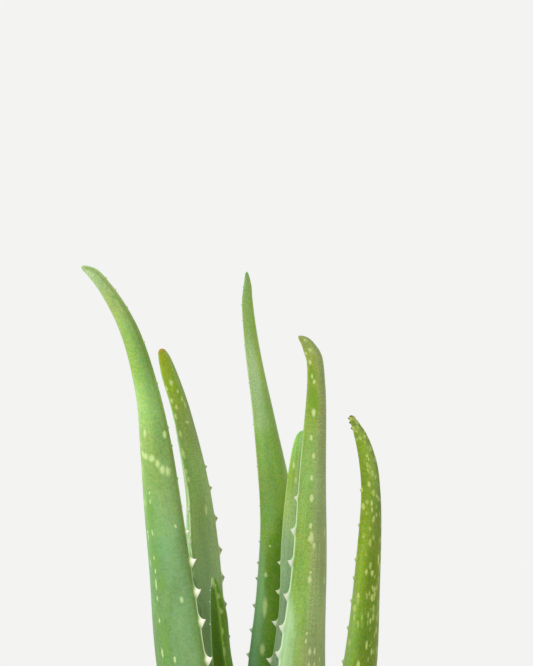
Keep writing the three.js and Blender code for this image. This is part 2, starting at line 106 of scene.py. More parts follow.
LEAVES = [
    dict(
        name="leaf_centre_young", back=(290, 300), fullness=0.9, bare_base=60, flanks=(1.85, 1.85),
        stations=[(3, -5, 122, 22), (8, -8, 165, 22), (10.5, -11, 213, 19.5), (12, -11, 240, 15.8),
                  (12.3, -11, 270, 14), (13.4, -11, 298, 10.9), (14.6, -11, 311, 8.6),
                  (15.1, -11, 316, 6.2), (15.4, -11, 318.8, 2.2)],
        tooth_size=(0.5, 3), tooth_growth=(25, 95), teeth_side=-1, brown_reach=(20, 40),
        teeth=(58.6, 71.5, 85.7, 102.2),
    ),
    dict(
        name="leaf_left_young", back=(35, 35), fullness=1.7, bare_base=50, flanks=(1.9, 1.9),
        channel=0.36,
        stations=[(-3, 4, 123, 20), (-12, 0, 165, 15), (-21.9, -4, 213, 10.6), (-23.6, -4, 235, 8.6),
                  (-24.3, -4, 244, 6), (-24.9, -4, 252.6, 2)],
        tooth_size=(1.1, 1.6), tooth_growth=(0, 40), teeth_side=-1, brown_reach=(0, 1), teeth=(3.5, 8.5, 14),
    ),
    dict(
        name="leaf_centre_tall", back=(300, 305), fullness=1, bare_base=50, flanks=(1.75, 1.75),
        stations=[(0, -1, 119, 28), (-0.6, 2, 165, 26.3), (1.1, 4, 213, 22.9), (2.9, 4.5, 245, 19),
                  (4.4, 5, 275, 18.9), (-1.5, 6, 320, 11.5), (-7.3, 6, 355, 7.4),
                  (-9.5, 6, 376, 5.6), (-9.4, 6, 383.8, 4), (-9.7, 6, 389.8, 1.3)],
        tooth_size=(0.5, 1.7), tooth_growth=(105, 165), teeth_side=-1,
        brown_reach=(130, 175), teeth=(7, 15, 22, 33, 50, 69, 88, 106, 123, 133, 140, 152, 163, 174),
    ),
    dict(
        name="leaf_right_front", back=(315, 318), fullness=1.05, bare_base=45, flanks=(1.4, 2.1), lean=-0.2,
        stations=[(11, -13, 117, 35), (12.7, -19, 165, 32.6), (14.1, -22, 213, 27.9),
                  (17.4, -22, 260, 20.1), (19.1, -21, 305, 15.4), (20.7, -20, 338, 10.9),
                  (19.9, -20, 350.9, 9.4), (18.4, -20, 354.5, 8.1),
                  (16.4, -20, 358, 5.6), (13.3, -20, 360.7, 1.4)],
        tooth_size=(0.5, 3.2), tooth_growth=(50, 88), teeth_side=-1, brown_reach=(40, 70),
        teeth=(73.3, 87.5, 101.2, 115.9, 129.5, 140.5),
    ),
    dict(
        name="leaf_left_back", back=(158, 124), fullness=0.95, bare_base=45,
        stations=[(-12, 10, 117, 34), (-16.8, 15, 165, 31.6), (-22.9, 17, 213, 27),
                  (-25.8, 17, 240, 24.6), (-28.7, 17, 262, 23.9), (-31.5, 17, 288, 15.8),
                  (-36.9, 16, 315, 11.3), (-40.4, 15.5, 329, 9.6), (-44.9, 15, 342.7, 8.2),
                  (-47.5, 14.3, 350.8, 5.9), (-49.1, 14, 354.8, 3.1)],
        tooth_size=(0.9, 3.2), tooth_growth=(40, 110), teeth_side=-1, far_teeth=1, brown_reach=(180, 260),
        hook=0.05, edge_ahead=1.7,
        teeth=(58, 68, 82, 97.5, 110.5, 123),
    ),
    dict(
        name="leaf_left_front", back=(228, 222), fullness=1.05, bare_base=40, flanks=(1.75, 1.75),
        stations=[(-14.1, -12, 115, 36), (-27.1, -20, 160, 32.4), (-36.4, -25, 213, 29.3),
                  (-42.1, -29, 262, 23.5), (-47.5, -33, 312, 18.8), (-51.6, -35, 337.5, 13.7),
                  (-59.1, -37, 363, 10.4), (-68.4, -39, 380, 7.8), (-74.1, -41, 387.1, 6.1),
                  (-79.9, -42, 390.6, 1.4)],
        tooth_size=(0.9, 4.1), tooth_growth=(112, 138), teeth_side=1,
        teeth=(10.5, 17, 26, 42, 60, 79, 87, 101, 113, 124.3, 137.3, 150.5, 163.6, 180.5),
    ),
    dict(
        name="leaf_right", back=(322, 322), fullness=1.05, bare_base=40,
        stations=[(17, -5, 115, 33), (28.8, -8, 160, 27.6), (39.5, -10, 213, 22.8),
                  (43.6, -10, 262, 16), (44.9, -9, 290, 11.9), (43.9, -9, 303, 10.6),
                  (40.9, -8, 315.6, 7.3), (36.7, -8, 325.3, 2.3)],
        tooth_size=(1.3, 1.7), tooth_growth=(20, 130), teeth_side=-1, far_teeth=0.9, brown_reach=(7, 12),
        teeth=(0.9, 2.8, 5.4, 34, 50, 65, 73, 83, 95, 110),
    ),
]

# The short older leaves low on the rosette: name, direction of the back, and stations
LOW_LEAVES = [
    ("leaf_low_back", (92, 96), [(1, 19, 116, 32), (3, 36, 141, 28), (5, 47, 171, 19), (6, 53, 203, 2)]),
    ("leaf_low_left", (176, 172),
     [(-18, 2, 117, 31), (-39, 5, 138, 27), (-62, 9, 161, 18), (-81, 12, 186, 2)]),
    ("leaf_low_front", (262, 258),
     [(-2, -19, 117, 31), (-5, -39, 141, 27), (-9, -54, 167, 18), (-13, -62, 193, 2)]),
    ("leaf_low_right", (28, 24), [(17, 9, 117, 32), (36, 19, 139, 28), (55, 29, 165, 19), (66, 35, 194, 2)]),
]
LEAVES += [
    dict(name=name, back=back, fullness=1, bare_base=25, stations=stations,
         tooth_size=(0.7, 2.6), tooth_growth=(0, 60), teeth_side=-1, brown_reach=(10, 30), teeth=(6, 14, 24))
    for name, back, stations in LOW_LEAVES
]


def smooth(x, low, high):
    share = np.clip((x - low) / (high - low), 0, 1)
    return share * share * (3 - 2 * share)


# A smooth curve through points: centripetal for the middle line, evenly spaced for the widths
def curve_through(points, t, centripetal):
    points = np.asarray(points, float)
    before = 2 * points[:1] - points[1:2]
    after = 2 * points[-1:] - points[-2:-1]
    padded = np.concatenate([before, points, after])
    place = np.clip(t, 0, 1) * (len(points) - 1)
    start = np.minimum(place.astype(int), len(points) - 2)
    share = (place - start)[:, None]
    p0, p1, p2, p3 = (padded[start + k] for k in range(4))
    if centripetal:
        d0, d1, d2 = (np.sqrt(np.linalg.norm(b - a, axis=1))[:, None]
                      for a, b in ((p0, p1), (p1, p2), (p2, p3)))
        slope1 = ((p1 - p0) / d0 - (p2 - p0) / (d0 + d1) + (p2 - p1) / d1) * d1
        slope2 = ((p2 - p1) / d1 - (p3 - p1) / (d1 + d2) + (p3 - p2) / d2) * d1
    else:
        slope1, slope2 = (p2 - p0) / 2, (p3 - p1) / 2
    c2 = 3 * (p2 - p1) - 2 * slope1 - slope2
    c3 = 2 * (p1 - p2) + slope1 + slope2
    return p1 + share * (slope1 + share * (c2 + share * c3))


class Rail:
    """A leaf's middle line by distance from its base, in millimetres."""

    def __init__(self, leaf):
        self.leaf = leaf
        self.places = [s[:3] for s in leaf["stations"]]
        self.widths = [[s[3]] for s in leaf["stations"]]
        self.t = np.linspace(0, 1, 2001)
        line = curve_through(self.places, self.t, True)
        steps = np.linalg.norm(np.diff(line, axis=0), axis=1)
        self.reach = np.concatenate([[0], np.cumsum(steps)])
        self.length = self.reach[-1]

    def at(self, distance):
        leaf = self.leaf
        u = distance / self.length
        t = np.interp(distance, self.reach, self.t)
        step = 1e-4
        centre = curve_through(self.places, t, True)
        ahead = curve_through(self.places, np.minimum(t + step, 1), True)
        behind = curve_through(self.places, np.maximum(t - step, 0), True)
        along = ahead - behind
        along /= np.linalg.norm(along, axis=1)[:, None]
        tipward = smooth(u, TIP_BEGINS, 1)
        turn = np.radians(leaf["back"][0] + (leaf["back"][1] - leaf["back"][0]) * tipward)
        back = np.stack([np.cos(turn), np.sin(turn), np.zeros_like(turn)], 1)
        back -= along * (back * along).sum(1)[:, None]
        back /= np.linalg.norm(back, axis=1)[:, None]
        across = np.cross(along, back)
        width = curve_through(self.widths, t, False)[:, 0]
        baseward = 1 - smooth(u, 0, BASE_ENDS)
        depth_share = BACK_DEPTH + BACK_TIP_EXTRA * tipward + BACK_BASE_EXTRA * baseward
        face_share = FACE_TIP_SWELL * tipward - FACE_CHANNEL - FACE_BASE_EXTRA * baseward
        if "channel" in leaf:
            face_share = -leaf["channel"] * (1 - tipward / 2)
        return dict(centre=centre, along=along, back=back, across=across, width=width,
                    back_depth=leaf["fullness"] * width * depth_share, face_depth=width * face_share)


def tooth_places(leaf, length):
    """(distance from the tip, side, length) of every tooth."""
    listed = list(leaf["teeth"])
    while listed[-1] + TOOTH_PITCH < length - leaf["bare_base"]:
        listed.append(listed[-1] + TOOTH_PITCH)
    between = [(a + b) / 2 for a, b in zip(listed, listed[1:])]
    side = leaf["teeth_side"]
    far = leaf.get("far_teeth", FAR_TEETH)
    return ([(d, side, tooth_length(leaf, d)) for d in listed]
            + [(d, -side, far * tooth_length(leaf, d)) for d in between])


def tooth_length(leaf, distance):
    small, full = leaf["tooth_size"]
    return small + (full - small) * float(smooth(distance, *leaf["tooth_growth"]))


def ring_places(leaf, rail):
    """Distances from the base of the mesh's rings: at each tooth, near the tip, and evenly between."""
    teeth = tooth_places(leaf, rail.length)
    wanted = [rail.length - d for d, _, _ in teeth]
    wanted += [rail.length - d for d in TIP_RINGS]
    for share in TOOTH_RINGS[1:]:
        wanted += [rail.length - d + share * length for d, _, length in teeth]
    wanted += list(np.arange(0, rail.length - TIP_RINGS[-1], RING_SPACING))
    kept = []
    for place in wanted:
        near_tip = rail.length - place < TIP_RINGS[-1]
        spacing = LEAST_SPACING / 2 if near_tip else LEAST_SPACING
        inside = 0 <= place < rail.length
        if inside and all(abs(place - other) > spacing for other in kept):
            kept.append(place)
    return np.array(sorted(kept))


def section_angles():
    """Angles once round the section, from the first margin over the back and then over the face."""
    back = list(BACK_ANGLES) + [math.pi - a for a in reversed(BACK_ANGLES[1:-1])]
    face = list(FACE_ANGLES) + [math.pi - a for a in reversed(FACE_ANGLES[1:-1])]
    return np.array(back), np.array(face)


def skin_points(leaf, rail, places, grow=0.0):
    """Points of the plain skin, ring by ring, with the frame that each ring was made in."""
    f = rail.at(places)
    left = rail.length - places
    rounding = np.sqrt(np.clip(1 - np.clip(1 - left / TIP_ROUND, 0, 1) ** 2, 0, 1))
    half = f["width"] / 2 * rounding
    back_angle, face_angle = section_angles()
    near, far = leaf.get("flanks", FLANKS)
    power = np.where(back_angle > math.pi / 2, near, far)
    over = (1 - np.abs(np.cos(back_angle)) ** power) ** (1 / power)
    if "channel" in leaf:
        under = (1 - np.abs(np.cos(face_angle))) ** CHANNEL_SHARPNESS
        drop = CHANNEL_ROOM * grow
    else:
        under = np.sin(face_angle) ** FACE_ROUNDING
        drop = grow
    reach = np.concatenate([np.cos(back_angle) + leaf.get("lean", 0) * over, -np.cos(face_angle)])
    depth = np.concatenate([
        np.outer(f["back_depth"] * rounding + grow, over),
        -np.outer(f["face_depth"] * rounding, under) - drop,
    ], axis=1)
    sides = reach[None, :] * (half[:, None] + grow)
    points = (f["centre"][:, None, :] + sides[..., None] * f["across"][:, None, :]
              + depth[..., None] * f["back"][:, None, :])
    return points, f


def distance_round(points, start):
    """Surface distance of each section point from the point at index start, the shorter way round."""
    steps = np.linalg.norm(np.roll(points, -1, axis=1) - points, axis=2)
    total = steps.sum(1)[:, None]
    from_first = np.concatenate([np.zeros((len(points), 1)), np.cumsum(steps, axis=1)[:, :-1]], axis=1)
    away = np.abs(from_first - from_first[:, start:start + 1])
    return np.minimum(away, total - away)


def add_teeth(leaf, rail, places, points, f):
    """Draws the margins out into teeth. Returns how far into a tooth each point is and how small it is."""
    margins = {1: 0, -1: 2 * len(BACK_ANGLES) - 2}
    away = {side: distance_round(points, index) for side, index in margins.items()}
    into = np.zeros(points.shape[:2])
    brown = np.zeros(points.shape[:2])
    moved = points.copy()
    for distance, side, length in tooth_places(leaf, rail.length):
        ahead = (places - (rail.length - distance)) / length
        foot = TOOTH_FOOT * np.clip(1 + ahead / FOOT_BEHIND, 0, 1) ** 1.5
        spike = (1 - TOOTH_FOOT) * np.clip(1 + ahead / TOOTH_BEHIND, 0, 1) ** EDGE_BEHIND
        hollow = leaf.get("edge_ahead", EDGE_AHEAD)
        rise = np.where(ahead >= 0, np.clip(1 - ahead / TOOTH_AHEAD, 0, 1) ** hollow, spike + foot)
        near = np.clip(1 - away[side] / (TOOTH_THICK * length), 0, 1)
        lift = rise[:, None] * near ** 1.3
        tipped = 1 - smooth(distance, *leaf.get("brown_reach", BROWN_REACH))
        if side != leaf["teeth_side"]:
            tipped *= length < SMALL_TOOTH
        moved += (lift * side * length)[..., None] * f["across"][:, None, :]
        hook = leaf.get("hook", TOOTH_HOOK) * length
        moved += (lift ** 2 * hook)[..., None] * f["along"][:, None, :]
        into = np.maximum(into, rise[:, None] * near)
        brown = np.maximum(brown, lift * tipped)
    return moved, into, brown


def waver(leaf, places, points, f):
    """Slight unevenness of a grown leaf: slow bends of its surface and faint lengthwise ribs."""
    draw = random.Random(leaf["name"])
    phase = [draw.uniform(0, 2 * math.pi) for _ in range(6)]
    size = f["width"][:, None] / 30
    turn = np.linspace(0, 2 * math.pi, points.shape[1], endpoint=False)[None, :]
    along = places[:, None]
    push = (0.32 * np.sin(along / 23 + phase[0] + np.sin(turn + phase[1]))
            + 0.16 * np.sin(along / 9.5 + 2 * turn + phase[2])
            + 0.05 * np.sin(9 * turn + phase[3] + along / 60)
            + 0.03 * np.sin(17 * turn + phase[4]))
    outward = points - f["centre"][:, None, :]
    outward /= np.maximum(np.linalg.norm(outward, axis=2), 1e-6)[..., None]
    return points + (push * size)[..., None] * outward


def ring_faces(rings, sides):
    faces = []
    for i in range(rings - 1):
        for j in range(sides):
            a = i * sides + j
            b = i * sides + (j + 1) % sides
            faces.append((a, b, b + sides, a + sides))
    return faces


def closed_skin(points, base, tip):
    """Vertices and faces of a skin of rings that run anticlockwise, seen from the last ring's side.
    A fan closes its base, and its tip point the other end."""
    rings, sides = points.shape[:2]
    vertices = np.concatenate([points.reshape(-1, 3), [base], [tip]])
    faces = ring_faces(rings, sides)
    last = (rings - 1) * sides
    for j in range(sides):
        after = (j + 1) % sides
        faces.append((rings * sides, after, j))
        faces.append((rings * sides + 1, last + j, last + after))
    return vertices, faces


def mesh_object(name, vertices, faces):
    mesh = bpy.data.meshes.new(name)
    mesh.from_pydata((np.asarray(vertices) * MM).tolist(), [], faces)
    mesh.update()
    made = bpy.data.objects.new(name, mesh)
    bpy.context.scene.collection.objects.link(made)
    return made


def shade_smooth(made):
    made.data.polygons.foreach_set("use_smooth", [True] * len(made.data.polygons))


def store(made, name, values):
    layer = made.data.attributes.new(name, "FLOAT", "POINT")
    layer.data.foreach_set("value", np.asarray(values, np.float32).ravel())


def lay_out(made, rings, sides):
    """A plain bake map: once round the section across it, and base to tip up it."""
    count = len(made.data.loops)
    vertex = np.empty(count, np.int64)
    made.data.loops.foreach_get("vertex_index", vertex)
    start = np.empty(len(made.data.polygons), np.int64)
    made.data.polygons.foreach_get("loop_start", start)
    face = np.zeros(count, np.int64)
    face[start[1:]] = 1
    face = np.cumsum(face)
    ring = np.minimum(vertex // sides, rings)
    side = np.where(vertex >= rings * sides, 0, vertex % sides)
    quads = (rings - 1) * sides
    column = np.where(face < quads, face % sides, (face - quads) // 2)
    wraps = (side == 0) & (column == sides - 1) & (vertex < rings * sides)
    u = (side + wraps * sides) / sides
    u = np.where(vertex >= rings * sides, (column + 0.5) / sides, u)
    v = np.where(vertex == rings * sides, -1, ring)
    u = 0.01 + 0.98 * u
    v = 0.01 + 0.98 * (v + 1) / (rings + 1)
    layer = made.data.uv_layers.new(name="OFBake")
    layer.data.foreach_set("uv", np.stack([u, v], 1).astype(np.float32).ravel())


def build_leaf(leaf):
    rail = Rail(leaf)
    places = ring_places(leaf, rail)
    plain, f = skin_points(leaf, rail, places)
    points = waver(leaf, places, plain, f)
    points, into, brown = add_teeth(leaf, rail, places, points, f)
    base = f["centre"][0] + f["back"][0] * (f["back_depth"][0] - f["face_depth"][0]) / 2
    tip = rail.at(np.array([rail.length]))["centre"][0]
    vertices, faces = closed_skin(points, base, tip)
    made = mesh_object(leaf["name"] + "_skin", vertices, [face[::-1] for face in faces])
    shade_smooth(made)
    rings, sides = points.shape[:2]
    lay_out(made, rings, sides)
    half = len(BACK_ANGLES) - 1
    to_margin = np.minimum(distance_round(plain, 0), distance_round(plain, 2 * half))
    from_keel = distance_round(plain, half)
    face_middle = 2 * half + len(FACE_ANGLES) - 1
    from_face = distance_round(plain, face_middle)
    on_face = np.zeros(sides, bool)
    on_face[2 * half + 1:] = True
    side_sign = np.sign(((plain - f["centre"][:, None, :]) * f["across"][:, None, :]).sum(2))
    around = np.where(on_face[None, :], from_face, from_keel) * side_sign
    share = around / np.maximum(f["width"][:, None], 1)
    for name, grid, ends in (
        ("around", around, 0), ("share", share, 0), ("margin", to_margin, 5),
        ("face", np.tile(on_face.astype(float), (rings, 1)), 0), ("tooth", into, 0), ("brown", brown, 0),
        ("from_tip", np.repeat((rail.length - places)[:, None], sides, 1), 0),
    ):
        store(made, name, np.concatenate([grid.ravel(), [ends, ends]]))
    made.data.attributes["from_tip"].data[rings * sides].value = rail.length
    return made


def leaf_cutter(leaf):
    """A coarser, slightly larger copy of a leaf, for the room that it takes from the leaves outside it."""
    rail = Rail(leaf)
    places = np.arange(0, rail.length - 1, 4.0)
    points, f = skin_points(leaf, rail, places, GAP)
    base = f["centre"][0] + f["back"][0] * (f["back_depth"][0] - f["face_depth"][0]) / 2
    tip = rail.at(np.array([rail.length]))["centre"][0]
    vertices, faces = closed_skin(points, base, tip)
    return mesh_object(leaf["name"] + "_room", vertices, [face[::-1] for face in faces])


def solid_difference(made, cutter):
    """Takes the cutter's room out of made, keeping its map and stored values."""
    step = made.modifiers.new("room", "BOOLEAN")
    step.operation = "DIFFERENCE"
    step.solver = "MANIFOLD"
    step.object = cutter
    depsgraph = bpy.context.evaluated_depsgraph_get()
    cut = bpy.data.meshes.new_from_object(made.evaluated_get(depsgraph))
    made.modifiers.remove(step)
    made.data = cut


# Shader graphs

def srgb(red, green, blue):
    """A colour given as 0 to 255 on screen, as Blender's linear one."""
    def linear(value):
        value /= 255
        return value / 12.92 if value <= 0.04045 else ((value + 0.055) / 1.055) ** 2.4
    return (linear(red), linear(green), linear(blue), 1)


class Graph:
    """A material's node graph, built by small calls. Values may be numbers, colours or sockets."""

    def __init__(self, name):
        self.material = bpy.data.materials.new(name)
        self.material.use_nodes = True
        self.tree = self.material.node_tree
        self.shader = self.tree.nodes["Principled BSDF"]

    def node(self, kind, inputs, **settings):
        made = self.tree.nodes.new("ShaderNode" + kind)
        for key, value in settings.items():
            setattr(made, key, value)
        for key, value in inputs.items():
            self.put(made.inputs[key], value)
        return made

    def put(self, socket, value):
        if isinstance(value, bpy.types.NodeSocket):
            self.tree.links.new(value, socket)
        else:
            socket.default_value = value

    def surface(self, color, roughness, normal, gloss):
        """Sets what every solid surface here sets, and returns the material."""
        inputs = self.shader.inputs
        self.put(inputs["Base Color"], color)
        self.put(inputs["Roughness"], roughness)
        self.put(inputs["Normal"], normal)
        self.put(inputs["Specular IOR Level"], gloss)
        return self.material

    def place(self):
        return self.node("TexCoord", {}).outputs["Object"]

    def attribute(self, name):
        return self.node("Attribute", {}, attribute_name=name).outputs["Fac"]

    def math(self, operation, a, b=0.0):
        return self.node("Math", {0: a, 1: b}, operation=operation).outputs[0]

    def times(self, a, b):
        return self.math("MULTIPLY", a, b)

    def add_product(self, a, b, c):
        """a times b, and c added."""
        return self.node("Math", {0: a, 1: b, 2: c}, operation="MULTIPLY_ADD").outputs[0]

    def between(self, value, low, high, out_low=0.0, out_high=1.0):
        inputs = {"Value": value, "From Min": low, "From Max": high, "To Min": out_low, "To Max": out_high}
        return self.node("MapRange", inputs, interpolation_type="SMOOTHSTEP").outputs[0]

    def combine(self, x, y, z):
        return self.node("CombineXYZ", {0: x, 1: y, 2: z}).outputs[0]

    def mix(self, share, a, b):
        return self.node("Mix", {0: share, 6: a, 7: b}, data_type="RGBA").outputs[2]

    def noise(self, place, scale, detail=2.0, roughness=0.5):
        inputs = {"Vector": place, "Scale": scale, "Detail": detail, "Roughness": roughness}
        return self.node("TexNoise", inputs).outputs[0]

    def bump(self, height, strength, distance):
        inputs = {"Height": height, "Strength": strength, "Distance": distance}
        return self.node("Bump", inputs).outputs[0]


